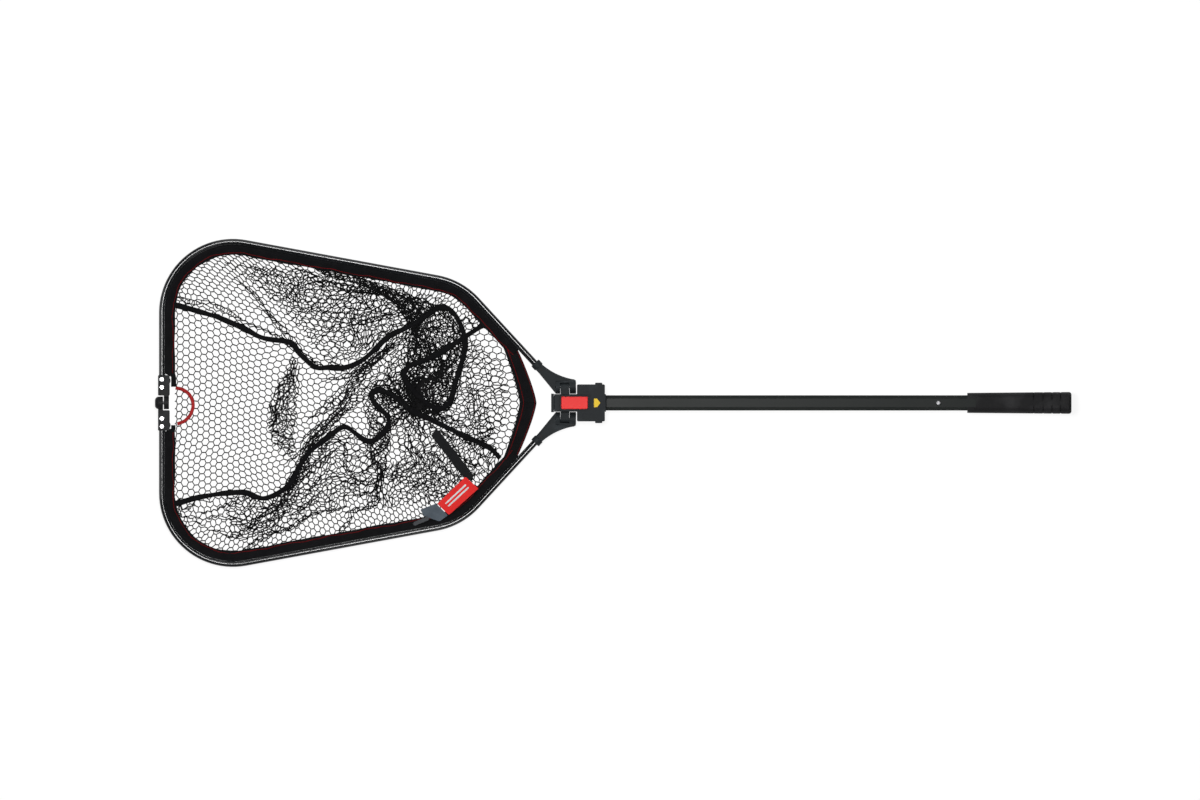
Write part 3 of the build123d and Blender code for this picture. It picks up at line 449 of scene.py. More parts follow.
def strip(name, points, uv, thick, material):
    """Cloth strip from a grid of points (rows along it, columns across), given its thickness."""
    rows, columns = points.shape[:2]
    faces = grid_faces(rows, columns)
    piece = new_piece(name, points.reshape(-1, 3), faces, material, uv.reshape(-1, 2))
    apply_modifier(piece, "SOLIDIFY", thickness=thick, offset=0.0, use_even_offset=True)
    return piece


def run_length(line):
    """Distance along a line at each of its points."""
    steps = np.linalg.norm(np.diff(line, axis=0), axis=1)
    return np.concatenate([[0.0], np.cumsum(steps)])


def resample(line, count):
    """The line's shape at equal steps."""
    reach = run_length(line)
    wanted = np.linspace(0.0, reach[-1], count)
    return np.stack([np.interp(wanted, reach, line[:, k]) for k in range(line.shape[1])], axis=1)


def soften(line, times):
    """Rounds a line by averaging neighbours, keeping its two ends."""
    line = line.copy()
    for _ in range(times):
        line[1:-1] = 0.25 * line[:-2] + 0.5 * line[1:-1] + 0.25 * line[2:]
    return line


def unit_rows(vectors):
    """Each row at length 1."""
    return vectors / np.linalg.norm(vectors, axis=1)[:, None]


def beside_line(line):
    """Unit direction to the left of a line in plan, at each of its points."""
    tangent = unit_rows(np.gradient(line[:, :2], axis=0))
    return np.column_stack([-tangent[:, 1], tangent[:, 0]])


CORD_SIDES = 8


def round_cord(name, line, radius, material):
    """Round tube along a line, closed at both ends."""
    tangent = unit_rows(np.gradient(line, axis=0))
    beside = unit_rows(np.cross(tangent, (0.0, 0.0, 1.0)))
    above = np.cross(beside, tangent)
    turn = np.linspace(0.0, 2 * pi, CORD_SIDES, endpoint=False)
    ring = np.cos(turn)[None, :, None] * beside[:, None, :]
    ring = ring + np.sin(turn)[None, :, None] * above[:, None, :]
    points = (line[:, None, :] + radius * ring).reshape(-1, 3)
    reach = run_length(line)
    uv = np.stack([np.repeat(reach, CORD_SIDES), np.tile(turn * radius, len(line))], axis=1)
    faces = grid_faces(len(line), CORD_SIDES, wrap=True)
    end = (len(line) - 1) * CORD_SIDES
    faces.append(tuple(range(CORD_SIDES))[::-1])
    faces.append(tuple(range(end, end + CORD_SIDES)))
    return new_piece(name, points, faces, material, uv)


# ---------------------------------------------------------------- the hoop's line

FAR_X = -0.7528
FAR_CORNER_Y = 0.316
NEAR_CORNER = (-0.2148, 0.2173)
SOCKET = (-0.0811, 0.0722)
BEND_RADIUS = 0.128
HOOP_STEP = 0.006
BEND_STEPS = 22
FAR_HALF_X = -0.4


def hoop_line(start_y, end_y):
    """Rail centre line of the right wing in plan, with the unit direction that points inboard."""
    far_corner, near_corner = Vector((FAR_X, FAR_CORNER_Y)), Vector(NEAR_CORNER)
    corners = [Vector((FAR_X, start_y)), far_corner, near_corner, Vector(SOCKET)]
    rows = []
    begin = corners[0]
    for i in range(3):
        ahead = (corners[i + 1] - corners[i]).normalized()
        inboard = Vector((ahead.y, -ahead.x))
        finish = corners[i + 1]
        bends = i < 2
        if bends:
            turn = ahead.angle((corners[i + 2] - corners[i + 1]).normalized())
            finish = corners[i + 1] - ahead * (BEND_RADIUS * np.tan(turn / 2))
        steps = max(2, int((finish - begin).length / HOOP_STEP))
        for k in range(steps):
            point = begin.lerp(finish, k / steps)
            rows.append((point.x, point.y, inboard.x, inboard.y))
        if bends:
            centre = finish + inboard * BEND_RADIUS
            first = np.arctan2(-inboard.y, -inboard.x)
            for k in range(BEND_STEPS):
                angle = first - turn * k / BEND_STEPS
                x, y = cos(angle), sin(angle)
                rows.append((centre.x + BEND_RADIUS * x, centre.y + BEND_RADIUS * y, -x, -y))
            x, y = cos(first - turn), sin(first - turn)
            begin = Vector((centre.x + BEND_RADIUS * x, centre.y + BEND_RADIUS * y))
    rows.append((finish.x, finish.y, inboard.x, inboard.y))
    line = np.array(rows)
    return line[(line[:, 1] >= end_y) | (line[:, 0] < FAR_HALF_X)]


def mirrored(points, side):
    """Right-hand points for side +1, and their left-hand copy for side -1."""
    return points * np.array([1.0, float(side), 1.0])


SIDES = {"right": 1, "left": -1}


def bend_at_hinge(piece, side_name):
    """Bakes the piece's placement into its mesh."""
    side_name + "_wing"
    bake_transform(piece)


# ---------------------------------------------------------------- edge band and its piping

# Distance inboard of the rail's centre line, and height
BAND_PROFILE = ((0.0050, 0.0143), (0.0085, 0.0142), (0.0115, 0.0128), (0.0155, 0.0106),
                (0.0195, 0.0083), (0.0222, 0.0067), (0.0238, 0.0062))
BAND_THICK = 0.0009
BAND_END_Y = 0.052
BAND_TAPER_Y = {"right": 0.029, "left": 0.040}
BAND_NEAR_Y = 0.097
BRACKET_X = -0.7
BRACKET_CLEAR = 0.0168
BRACKET_SPREAD = 0.0016
BRACKET_CEILING = 0.0082
PIPING_RADIUS = 0.0008
PIPING_INSET = 0.0198
PIPING_Z = 0.0089
BAND_SLOPE = 0.35


def band_wave(reach, seed):
    """Slow puckers of the tape along the hoop, in metres."""
    return 0.0006 * np.sin(reach * 47 + seed) + 0.0004 * np.sin(reach * 113 + 2.3 * seed)


def band_points(line, reach, beside_bracket, side):
    """Tape's grid of points and its map, narrower and lower beside the far bracket."""
    profile = np.array(BAND_PROFILE)
    across = np.repeat(profile[None, :, 0], len(line), axis=0)
    height = np.repeat(profile[None, :, 1], len(line), axis=0)
    across[beside_bracket] = np.maximum(across[beside_bracket], BRACKET_CLEAR)
    across[beside_bracket] += np.linspace(0, BRACKET_SPREAD, len(profile))
    height[beside_bracket] = np.minimum(height[beside_bracket], BRACKET_CEILING)
    free_edge = np.linspace(0.0, 1.0, len(profile)) ** 2
    pucker = band_wave(reach, side)[:, None] * free_edge[None, :]
    x = line[:, 0:1] + line[:, 2:3] * (across + pucker)
    y = line[:, 1:2] + line[:, 3:4] * (across + pucker)
    points = mirrored(np.stack([x, y, height + 0.6 * pucker], axis=2), side)
    uv = np.stack([np.repeat(reach[:, None], len(profile), axis=1), across], axis=2)
    return (points, uv) if side > 0 else (points[:, ::-1], uv[:, ::-1])


def make_band(side_name, finishes):
    """Tape that falls inboard from the rail."""
    line = hoop_line(BAND_TAPER_Y[side_name], BAND_NEAR_Y)
    reach = run_length(line[:, :2])
    beside_bracket = (line[:, 1] < BAND_END_Y) & (line[:, 0] < BRACKET_X)
    points, uv = band_points(line, reach, beside_bracket, SIDES[side_name])
    band = strip("rim_band_tape_" + side_name, points, uv, BAND_THICK, finishes["band"])
    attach(band, side_name + "_wing")
    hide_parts("rim_band_" + side_name)
    make_rim_piping(side_name, line[~beside_bracket], reach[~beside_bracket], finishes)


def make_rim_piping(side_name, sewn, run, finishes):
    """Piping sewn along the tape, a little unevenly."""
    side = SIDES[side_name]
    inset = PIPING_INSET + 0.0009 * np.sin(80 * run + side) + 0.0005 * np.sin(190 * run)
    height = PIPING_Z - BAND_SLOPE * (inset - PIPING_INSET) + 0.0005 * np.sin(61 * run + 2 * side)
    line = np.column_stack([sewn[:, :2] + sewn[:, 2:4] * inset[:, None], height])
    name = "rim_piping_cord_" + side_name
    piping = round_cord(name, mirrored(line, side), PIPING_RADIUS, finishes["piping"])
    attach(piping, side_name + "_wing")
    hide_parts("rim_piping_" + side_name)


# Place of each edge on the centre line, how far it swings away from there, and its half width
THROAT_OUTER = (-0.0783, -0.0353, 0.0985)
THROAT_INNER = (-0.1088, -0.0352, 0.1150)
THROAT_CURVE = 1.3
THROAT_FLAT_Z = 0.0031
THROAT_END_Z = (0.0128, 0.0066)
THROAT_TAPE_WIDTH = 0.03
THROAT_ROWS = 42
THROAT_COLUMNS = 7
THROAT_PIPING = (("outer", 0.09), ("inner", 0.76))
PIPING_PROUD = 0.0009


def throat_grid():
    """Right half of the throat band: flat in front of the block, rising to the rail at its end."""
    share = np.linspace(0.0, 1.0, THROAT_ROWS)
    edges = [np.stack([x + dx * share ** THROAT_CURVE, y * share], axis=1)
             for x, dx, y in (THROAT_OUTER, THROAT_INNER)]
    climb = np.clip((share - 0.5) / 0.5, 0, 1)
    climb = climb * climb * (3 - 2 * climb)
    across = np.linspace(0.0, 1.0, THROAT_COLUMNS)
    plan = edges[0][:, None, :] * (1 - across)[None, :, None]
    plan = plan + edges[1][:, None, :] * across[None, :, None]
    high = THROAT_END_Z[0] * (1 - across) + THROAT_END_Z[1] * across
    z = THROAT_FLAT_Z * (1 - climb[:, None]) + high[None, :] * climb[:, None]
    z += 0.0004 * np.sin(37 * plan[:, :, 1] + 5 * across[None, :]) * (share[:, None] > 0.1)
    return np.concatenate([plan, z[:, :, None]], axis=2)


def make_throat(side_name, finishes):
    """Half of the band in front of the block, with a line of piping near each edge."""
    side = SIDES[side_name]
    grid = mirrored(throat_grid(), side)
    if side < 0:
        grid = grid[:, ::-1]
    along = np.repeat(run_length(grid[:, 3])[:, None], THROAT_COLUMNS, axis=1)
    across = np.repeat(np.linspace(0, THROAT_TAPE_WIDTH, THROAT_COLUMNS)[None], THROAT_ROWS, axis=0)
    uv = np.stack([along, across], axis=2)
    band = strip("throat_band_tape_" + side_name, grid, uv, BAND_THICK, finishes["band"])
    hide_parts("throat_band_" + side_name, "throat_band_centre")
    bend_at_hinge(band, side_name)
    for edge, share in THROAT_PIPING:
        column = (share if side > 0 else 1 - share) * (THROAT_COLUMNS - 1)
        low = int(column)
        line = grid[:, low] * (1 - column + low) + grid[:, low + 1] * (column - low)
        line = line + np.array([0.0, 0.0, PIPING_PROUD])
        name = f"throat_piping_{edge}_{side_name}"
        piping = round_cord(name, line, PIPING_RADIUS, finishes["piping"])
        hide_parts("throat_piping")
        bend_at_hinge(piping, side_name)


# ---------------------------------------------------------------- the slack bag

# Seam tapes from the far rail to the throat, in millimetres in plan
RIGHT_ROUTE = (
    (-737, 178), (-715, 173), (-653, 155), (-602, 133), (-573, 116), (-513, 109), (-511, 93),
    (-477, 63), (-471, 57), (-462, 66), (-429, 61), (-401, 70), (-378, 87), (-344, 122),
    (-306, 137), (-273, 159), (-251, 177), (-229, 167), (-210, 132), (-205, 102), (-218, 54),
    (-229, 20), (-232, 0), (-251, -14), (-273, -5), (-308, 30), (-320, 49), (-317, 63),
    (-284, 75), (-256, 87), (-207, 119), (-173, 141),
)
LEFT_ROUTE = (
    (-737, -183), (-725, -181), (-688, -170), (-645, -163), (-602, -160), (-573, -174),
    (-550, -167), (-524, -150), (-501, -107), (-487, -87), (-424, -39), (-404, -55),
    (-384, -71), (-369, -69), (-349, -49), (-341, -29), (-375, 5), (-378, 13), (-372, 24),
    (-349, 21), (-329, 8), (-305, -14), (-273, -28), (-207, -60), (-159, -82), (-144, -100),
)
ROUTE_POINTS = 220
TAPE_Z = 0.0035
TAPE_LIFT = {"right": 0.006, "left": 0.004}
TAPE_REST = 1.04
PANEL_LENGTH = TAPE_REST * 0.93
SIDE_DEPTH = 0.30
CENTRE_WIDTH = 0.30
EDGE_INSET = 0.0228
EDGE_Z = 0.0060
STEPS_ALONG = 96
STEPS_SIDE = 30
STEPS_CENTRE = 28
SIM_ROUNDS = 420
POLE_LANE = 0.022
LANE_SLOPE = 0.03
LANE_CEILING = 0.0052
HEAP_CEILING = 0.0106
TAPE_RISE = 0.0023

# Where the net's edge on the hoop starts and ends on each side
EDGE_FAR_Y = {1: 0.173, -1: 0.181}
EDGE_NEAR_Y = {1: 0.141, -1: 0.112}
EDGE_SPLIT_X = -0.6
RIM_START_Y = 0.150
RIM_END_Y = 0.105

# Net's edge along the throat, in metres in plan
THROAT_EDGE = ((-0.170, 0.138), (-0.148, 0.108), (-0.124, 0.07), (-0.1105, 0.02),
               (-0.1105, -0.02), (-0.122, -0.062), (-0.144, -0.100))
THROAT_EDGE_Z = 0.0032
FAR_EDGE_Z = 0.0055


def headroom(y):
    """Highest place of the mesh: low in the lane where the pole stows, higher in the heaps."""
    share = np.clip((np.abs(y) - POLE_LANE) / LANE_SLOPE, 0, 1)
    return LANE_CEILING + (HEAP_CEILING - LANE_CEILING) * share


def tape_route(points, lift):
    """Seam line in metres, rounded, with its height above the ground."""
    plan = np.array(points, float) * MM
    plan = soften(resample(plan, ROUTE_POINTS), 4)
    reach = run_length(plan)
    share = reach / reach[-1]
    z = TAPE_Z + lift * np.exp(-((share - 0.78) / 0.09) ** 2) + 0.0008 * np.sin(share * 31)
    z = np.minimum(z, headroom(plan[:, 1]) - TAPE_RISE)
    return resample(np.column_stack([plan, z]), STEPS_ALONG + 1)


def rim_row(side):
    """Net's edge on one wing, from the far end of the seam tape round to its near end."""
    line = hoop_line(RIM_START_Y, RIM_END_Y)
    inner = line[:, :2] + line[:, 2:4] * EDGE_INSET
    start = np.array([FAR_X + EDGE_INSET, EDGE_FAR_Y[side]])
    inner = inner[(inner[:, 1] > start[1]) | (inner[:, 0] > EDGE_SPLIT_X)]
    inner = inner[(inner[:, 1] > EDGE_NEAR_Y[side]) | (inner[:, 0] < EDGE_SPLIT_X)]
    inner = np.vstack([start, inner])
    row = resample(inner, STEPS_ALONG + 1)
    return mirrored(np.column_stack([row, np.full(len(row), EDGE_Z)]), side)


# How the slack cloth settles: stiffness when stretched and when pushed together, by link
THREAD_LINK = (1.0, 0.35)
DIAGONAL_LINK = (0.5, 0.10)
BENDING_LINK = (0.0, 0.16)
HASTE = 3.2
SINKING = 0.00022
GROUND_Z = 0.0012
SHAKEN_SHARE = 0.6
FIRST_FOLDS = 26
FOLD_PITCH = (0.05, 0.16)
START_LIFT = 0.004
START_FOLD = 0.0016
START_NOISE = 0.0012
SHAKE = 0.0004
TINY = 1e-9


def relax(points, pinned, along, across, seed):
    """Lets a pinned grid of cloth settle: it resists stretch, folds where slack and sinks."""
    random = np.random.default_rng(seed)
    rows, columns = points.shape[:2]
    free = (~pinned).astype(float)[:, :, None]
    home = points.copy()
    i, j = np.meshgrid(np.arange(rows), np.arange(columns), indexing="ij")
    folds = np.zeros((rows, columns))
    for _ in range(FIRST_FOLDS):
        angle, pitch = random.uniform(0, pi), random.uniform(*FOLD_PITCH)
        phase = random.uniform(0, 2 * pi)
        folds += np.sin((i * cos(angle) * 2.0 + j * sin(angle)) * pitch * 2.4 + phase)
    lifted = START_LIFT + START_FOLD * folds
    points = points + free * np.stack([0 * folds, 0 * folds, lifted], axis=2)
    points += free * random.normal(0, START_NOISE, points.shape)
    diagonal = np.hypot(along[:, :-1] * 0.5 + along[:, 1:] * 0.5, 0.5 * (across[:-1] + across[1:]))
    every, early, late = slice(None), slice(0, -1), slice(1, None)
    two_early, two_late = slice(0, -2), slice(2, None)
    for turn in range(SIM_ROUNDS):
        cooling = 1.0 - turn / SIM_ROUNDS
        change = np.zeros_like(points)
        weight = np.full((rows, columns, 1), TINY)

        def pull(a, b, rest, link):
            """Adds one family of links between two slices of the grid."""
            gap = points[b] - points[a]
            length = np.linalg.norm(gap, axis=2)
            error = length - rest
            share = np.where(error > 0, *link)
            push = gap * (0.5 * share * error / np.maximum(length, TINY))[:, :, None]
            change[a] += push
            change[b] -= push
            weight[a] += 1
            weight[b] += 1

        pull((early, every), (late, every), along, THREAD_LINK)
        pull((every, early), (every, late), across, THREAD_LINK)
        pull((early, early), (late, late), diagonal, DIAGONAL_LINK)
        pull((late, early), (early, late), diagonal, DIAGONAL_LINK)
        pull((two_early, every), (two_late, every), along[:-1] + along[1:], BENDING_LINK)
        pull((every, two_early), (every, two_late), across[:, :-1] + across[:, 1:], BENDING_LINK)
        points = points + free * (change / weight) * HASTE
        points[:, :, 2] -= SINKING * free[:, :, 0]
        if turn < SHAKEN_SHARE * SIM_ROUNDS:
            points += free * random.normal(0, SHAKE * cooling, points.shape)
        points[:, :, 2] = np.clip(points[:, :, 2], GROUND_Z, headroom(points[:, :, 1]))
        points = np.where(pinned[:, :, None], home, points)
    return points


def panel_links(lengths, widths, steps):
    """Rest length of each link along and across a panel."""
    share = np.linspace(0, 1, steps + 1)
    long = lengths[0] * (1 - share) + lengths[1] * share
    along = np.repeat(long[None, :] / STEPS_ALONG, STEPS_ALONG, axis=0)
    across = np.repeat(widths[:, None] / steps, steps, axis=1)
    return along, across


def pinned_border(points):
    """Marks the four edges of a panel, which are sewn down."""
    pinned = np.zeros(points.shape[:2], bool)
    pinned[:, 0] = pinned[:, -1] = pinned[0] = pinned[-1] = True
    return pinned


def side_panel(side, tape, seed):
    """One half-moon side of the bag, between the hoop and its seam tape."""
    rim = rim_row(side)
    share = np.linspace(0, 1, STEPS_SIDE + 1)[None, :, None]
    points = rim[:, None, :] * (1 - share) + tape[:, None, :] * share
    s = np.linspace(0, 1, STEPS_ALONG + 1)
    widths = SIDE_DEPTH * np.maximum(np.sin(pi * s), 0.0) ** 0.6 * (0.85 + 0.25 * s) + 0.004
    along, across = panel_links((run_length(rim)[-1] * 1.02, TAPE_REST), widths, STEPS_SIDE)
    return relax(points, pinned_border(points), along, across, seed), widths


def centre_panel(right_tape, left_tape, seed):
    """Middle of the bag, between the two seam tapes."""
    share = np.linspace(0, 1, STEPS_CENTRE + 1)[None, :, None]
    points = right_tape[:, None, :] * (1 - share) + left_tape[:, None, :] * share
    far_x = FAR_X + EDGE_INSET + 0.001
    far = np.array([(far_x, EDGE_FAR_Y[1], FAR_EDGE_Z), (far_x, -EDGE_FAR_Y[-1], FAR_EDGE_Z)])
    near = np.array([(x, y, THROAT_EDGE_Z) for x, y in THROAT_EDGE])
    points[0] = resample(far, STEPS_CENTRE + 1)
    points[-1] = resample(near, STEPS_CENTRE + 1)
    s = np.linspace(0, 1, STEPS_ALONG + 1)
    far_width, near_width = 0.354, 0.26
    widths = (far_width * (1 - s) ** 2 + 2 * CENTRE_WIDTH * 0.98 * s * (1 - s)
              + near_width * s ** 2)
    along, across = panel_links((TAPE_REST * 0.97, TAPE_REST * 0.9), widths, STEPS_CENTRE)
    return relax(points, pinned_border(points), along, across, seed), widths


MESH_SIDE = 0.0078
TWINE_RADIUS = 0.0010
JOINT_RADIUS = 0.00118
TWINE_SIDES = 5
TWINE_OVERRUN = 0.0005
SHORTEST_STRAND = 0.0006

# Share of a strand's length, how far past it and share of its radius: points at both ends
TWINE_STATIONS = ((0.0, -TWINE_OVERRUN, 0.0), (0.02, 0.0, 0.85), (0.5, 0.0, 1.0),
                  (0.98, 0.0, 0.85), (1.0, TWINE_OVERRUN, 0.0))


def on_panel(points, widths, where):
    """Places of flat panel coordinates on the settled panel."""
    rows, columns = points.shape[:2]
    s = np.clip(where[:, 0] / PANEL_LENGTH, 0, 1)
    width = np.interp(s, np.linspace(0, 1, rows), widths)
    t = np.clip(0.5 + where[:, 1] / width, 0, 1)
    a, b = s * (rows - 1), t * (columns - 1)
    i, j = np.minimum(a.astype(int), rows - 2), np.minimum(b.astype(int), columns - 2)
    a, b = (a - i)[:, None], (b - j)[:, None]
    near = points[i, j] * (1 - b) + points[i, j + 1] * b
    far = points[i + 1, j] * (1 - b) + points[i + 1, j + 1] * b
    return near * (1 - a) + far * a


def hexagon_strands(length, widest):
    """Both ends of each side of a flat field of hexagons, and which sides are doubled joints."""
    a, high = MESH_SIDE, MESH_SIDE * 3 ** 0.5
    columns, rows = int(length / (1.5 * a)) + 2, int(widest / high) + 3
    starts, ends, joint = [], [], []
    for i in range(columns):
        x = 1.5 * a * i
        for j in range(-rows // 2, rows // 2 + 1):
            y = high * (j + 0.5 * (i % 2))
            corners = ((x - a / 2, y + high / 2), (x + a / 2, y + high / 2),
                       (x + a, y), (x + a / 2, y - high / 2))
            for k in range(3):
                starts.append(corners[k])
                ends.append(corners[k + 1])
                joint.append(k == 0)
    return np.array(starts), np.array(ends), np.array(joint)


def panel_strands(panel):
    """The strands of one settled panel in space."""
    points, widths = panel
    starts, ends, joint = hexagon_strands(PANEL_LENGTH, widths.max())

    def inside(where):
        """Which flat places lie on the panel."""
        s = where[:, 0] / PANEL_LENGTH
        width = np.interp(s, np.linspace(0, 1, len(widths)), widths)
        return (s >= 0) & (s <= 1) & (np.abs(where[:, 1]) <= 0.5 * width)

    keep = inside(starts) | inside(ends)
    first = on_panel(points, widths, starts[keep])
    last = on_panel(points, widths, ends[keep])
    solid = np.linalg.norm(last - first, axis=1) > SHORTEST_STRAND
    return first[solid], last[solid], joint[keep][solid]


def strand_faces():
    """Faces of one strand: a point, three rings and a point; -1 fills a triangle's fourth place."""
    tip = 1 + 3 * TWINE_SIDES
    faces = []
    for k in range(TWINE_SIDES):
        n = (k + 1) % TWINE_SIDES
        faces.append((0, 1 + n, 1 + k, -1))
        for ring in range(2):
            low = 1 + ring * TWINE_SIDES
            high = low + TWINE_SIDES
            faces.append((low + k, low + n, high + n, high + k))
        top = tip - TWINE_SIDES
        faces.append((top + k, top + n, tip, -1))
    return np.array(faces), tip + 1


def strand_mesh(name, first, last, joint, material):
    """Tubes between strand ends, thick where the twine is doubled, each closed at both ends."""
    run = last - first
    ahead = unit_rows(run)
    helper = np.where(np.abs(ahead[:, 2:3]) > 0.9, (1.0, 0.0, 0.0), (0.0, 0.0, 1.0))
    beside = unit_rows(np.cross(ahead, helper))
    above = np.cross(beside, ahead)
    radius = np.where(joint, JOINT_RADIUS, TWINE_RADIUS)[:, None]
    turn = np.linspace(0, 2 * pi, TWINE_SIDES, endpoint=False)
    blocks = []
    for share, past, thick in TWINE_STATIONS:
        middle = first + run * share + ahead * past
        if thick == 0.0:
            blocks.append(middle[:, None, :])
            continue
        ring = [middle + radius * thick * (cos(t) * beside + sin(t) * above) for t in turn]
        blocks.append(np.stack(ring, axis=1))
    points = np.concatenate(blocks, axis=1)
    pattern, each = strand_faces()
    corners = pattern[None] + (np.arange(len(first)) * each)[:, None, None]
    corners = np.where(pattern[None] < 0, -1, corners).reshape(-1, 4)
    faces = [tuple(face[face >= 0]) for face in corners]
    return new_piece(name, points.reshape(-1, 3), faces, material)


def dress_net(name, side_name, strands, finishes):
    """One piece of mesh."""
    piece = strand_mesh(name, *strands, finishes["twine"])
    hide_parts("net_bag_" + side_name, "net_bag_centre")
    bend_at_hinge(piece, side_name)


SPLIT_X = -0.44

# Places where the slack bag lies doubled over: outline in millimetres, turn of its mesh,
# how far it is gathered, and the seed of its wrinkles
FOLDS = (
    (((-640, 252), (-470, 234), (-330, 208), (-240, 186), (-306, 137), (-378, 87), (-448, 66),
      (-500, 130), (-570, 200)), 0.35, 0.84, 3),
    (((-590, 246), (-330, 204), (-262, 168), (-340, 118), (-400, 92), (-452, 130),
      (-530, 190)), 1.25, 0.92, 4),
    (((-425, 62), (-380, 84), (-300, 138), (-240, 172), (-205, 120), (-196, 40), (-160, -20),
      (-150, -90), (-176, -125), (-240, -180), (-300, -150), (-345, -140), (-318, -90),
      (-344, -45), (-360, 0)), 1.10, 0.74, 5),
    (((-517, 88), (-538, 46), (-557, 8), (-561, -30), (-557, -68), (-534, -98), (-515, -102),
      (-513, -49), (-506, 23), (-506, 65)), 1.45, 0.55, 9),
    (((-640, -165), (-560, -170), (-500, -105), (-430, -48), (-390, -66), (-350, -110),
      (-440, -190), (-545, -234), (-630, -240)), 0.20, 0.80, 11),
    (((-432, -150), (-340, -110), (-262, -90), (-200, -140), (-262, -180), (-360, -190)),
     0.85, 0.78, 13),
    (((-352, 60), (-306, 118), (-262, 100), (-230, 60), (-236, -10), (-280, -60), (-330, -40),
      (-352, 0)), 0.60, 0.80, 15),
    (((-515, 70), (-538, 40), (-557, 0), (-561, -34), (-552, -72), (-516, -96), (-514, -40),
      (-508, 20)), 0.30, 0.75, 17),
    (((-200, 120), (-140, 70), (-128, 10), (-135, -40), (-175, -70), (-205, -20)),
     0.15, 0.90, 19),
)
FOLD_CEILING = 0.0060
FOLD_Z = 0.0034
FOLD_LIFT = 1.2
FOLD_GROUND_Z = 0.0013
FOLD_SPAN = 2.2
FOLD_WAVELENGTHS = (0.120, 0.075, 0.048, 0.031, 0.020, 0.014)
WAVES_EACH = 3
WAVE_SIZE = 0.034


def within(plan, outline):
    """Which places lie inside a closed outline."""
    inside = np.zeros(len(plan), bool)
    for (x0, y0), (x1, y1) in zip(outline, np.roll(outline, -1, axis=0)):
        if y0 != y1:
            crosses = (y0 > plan[:, 1]) != (y1 > plan[:, 1])
            inside ^= crosses & (plan[:, 0] < x0 + (plan[:, 1] - y0) * (x1 - x0) / (y1 - y0))
    return inside


def crumple(plan, seed):
    """How far a gathered layer moves each of its points: slow folds with quick wrinkles on them."""
    random = np.random.default_rng(seed)
    moved = np.zeros((len(plan), 3))
    for wavelength in FOLD_WAVELENGTHS:
        for _ in range(WAVES_EACH):
            heading, phase = random.uniform(0, pi), random.uniform(0, 2 * pi)
            along = plan[:, 0] * cos(heading) + plan[:, 1] * sin(heading)
            push = random.normal(0, WAVE_SIZE * wavelength, 3)
            moved += np.sin(along * (2 * pi / wavelength) + phase)[:, None] * push
    return moved


def fold_layer(outline, turn, squeeze, seed):
    """One extra layer of gathered mesh, cut off at the fold's outline."""
    outline = np.array(outline, float) * MM
    centre = outline.mean(axis=0)
    span = FOLD_SPAN * np.abs(outline - centre).max()
    starts, ends, joint = hexagon_strands(span / squeeze, span / squeeze)
    spin = np.array([[cos(turn), sin(turn)], [-sin(turn), cos(turn)]])

    def placed(where):
        """Where flat places of the layer come to lie."""
        plan = (where - (0.5 * span / squeeze, 0.0)) * (1.0, squeeze) @ spin + centre
        moved = crumple(plan, seed)
        plan = plan + moved[:, :2]
        roof = np.minimum(headroom(plan[:, 1]), FOLD_CEILING)
        z = np.clip(FOLD_Z + FOLD_LIFT * moved[:, 2], FOLD_GROUND_Z, roof)
        return np.column_stack([plan, z])

    first, last = placed(starts), placed(ends)
    keep = within(0.5 * (first + last)[:, :2], outline)
    keep &= np.linalg.norm(last - first, axis=1) > SHORTEST_STRAND
    return first[keep], last[keep], joint[keep]


def joined(layers):
    """The strands of several layers as one set."""
    return tuple(np.concatenate(part) for part in zip(*layers))


def make_folds(finishes):
    """The doubled-over parts of the bag, one piece for each wing."""
    strands = joined([fold_layer(*fold) for fold in FOLDS])
    middle_y = 0.5 * (strands[0] + strands[1])[:, 1]
    for side_name, side in SIDES.items():
        pick = (middle_y >= 0) == (side > 0)
        chosen = [part[pick] for part in strands]
        dress_net("net_folds_" + side_name, side_name, chosen, finishes)


# What each panel's settling starts from
PANEL_SEEDS = {"right": 11, "left": 23, "centre": 37}


def make_bag(finishes):
    """The bag's mesh and its two seam tapes."""
    routes = {"right": RIGHT_ROUTE, "left": LEFT_ROUTE}
    tapes = {name: tape_route(route, TAPE_LIFT[name]) for name, route in routes.items()}
    panels = [side_panel(side, tapes[name], PANEL_SEEDS[name]) for name, side in SIDES.items()]
    panels.append(centre_panel(tapes["right"], tapes["left"], PANEL_SEEDS["centre"]))
    strands = joined([panel_strands(panel) for panel in panels])
    middle = 0.5 * (strands[0] + strands[1])
    for side_name, side in SIDES.items():
        for part, half in (("far", middle[:, 0] < SPLIT_X), ("near", middle[:, 0] >= SPLIT_X)):
            pick = half & ((middle[:, 1] >= 0) == (side > 0))
            chosen = [ends[pick] for ends in strands]
            dress_net(f"net_mesh_{part}_{side_name}", side_name, chosen, finishes)
        make_seam_tape(side_name, tapes[side_name], finishes)


SEAM_WIDTH = 0.009
SEAM_THICK = 0.0012
SEAM_CROWN = 0.0013
SEAM_RISE = 0.0012
SEAM_COLUMNS = 6


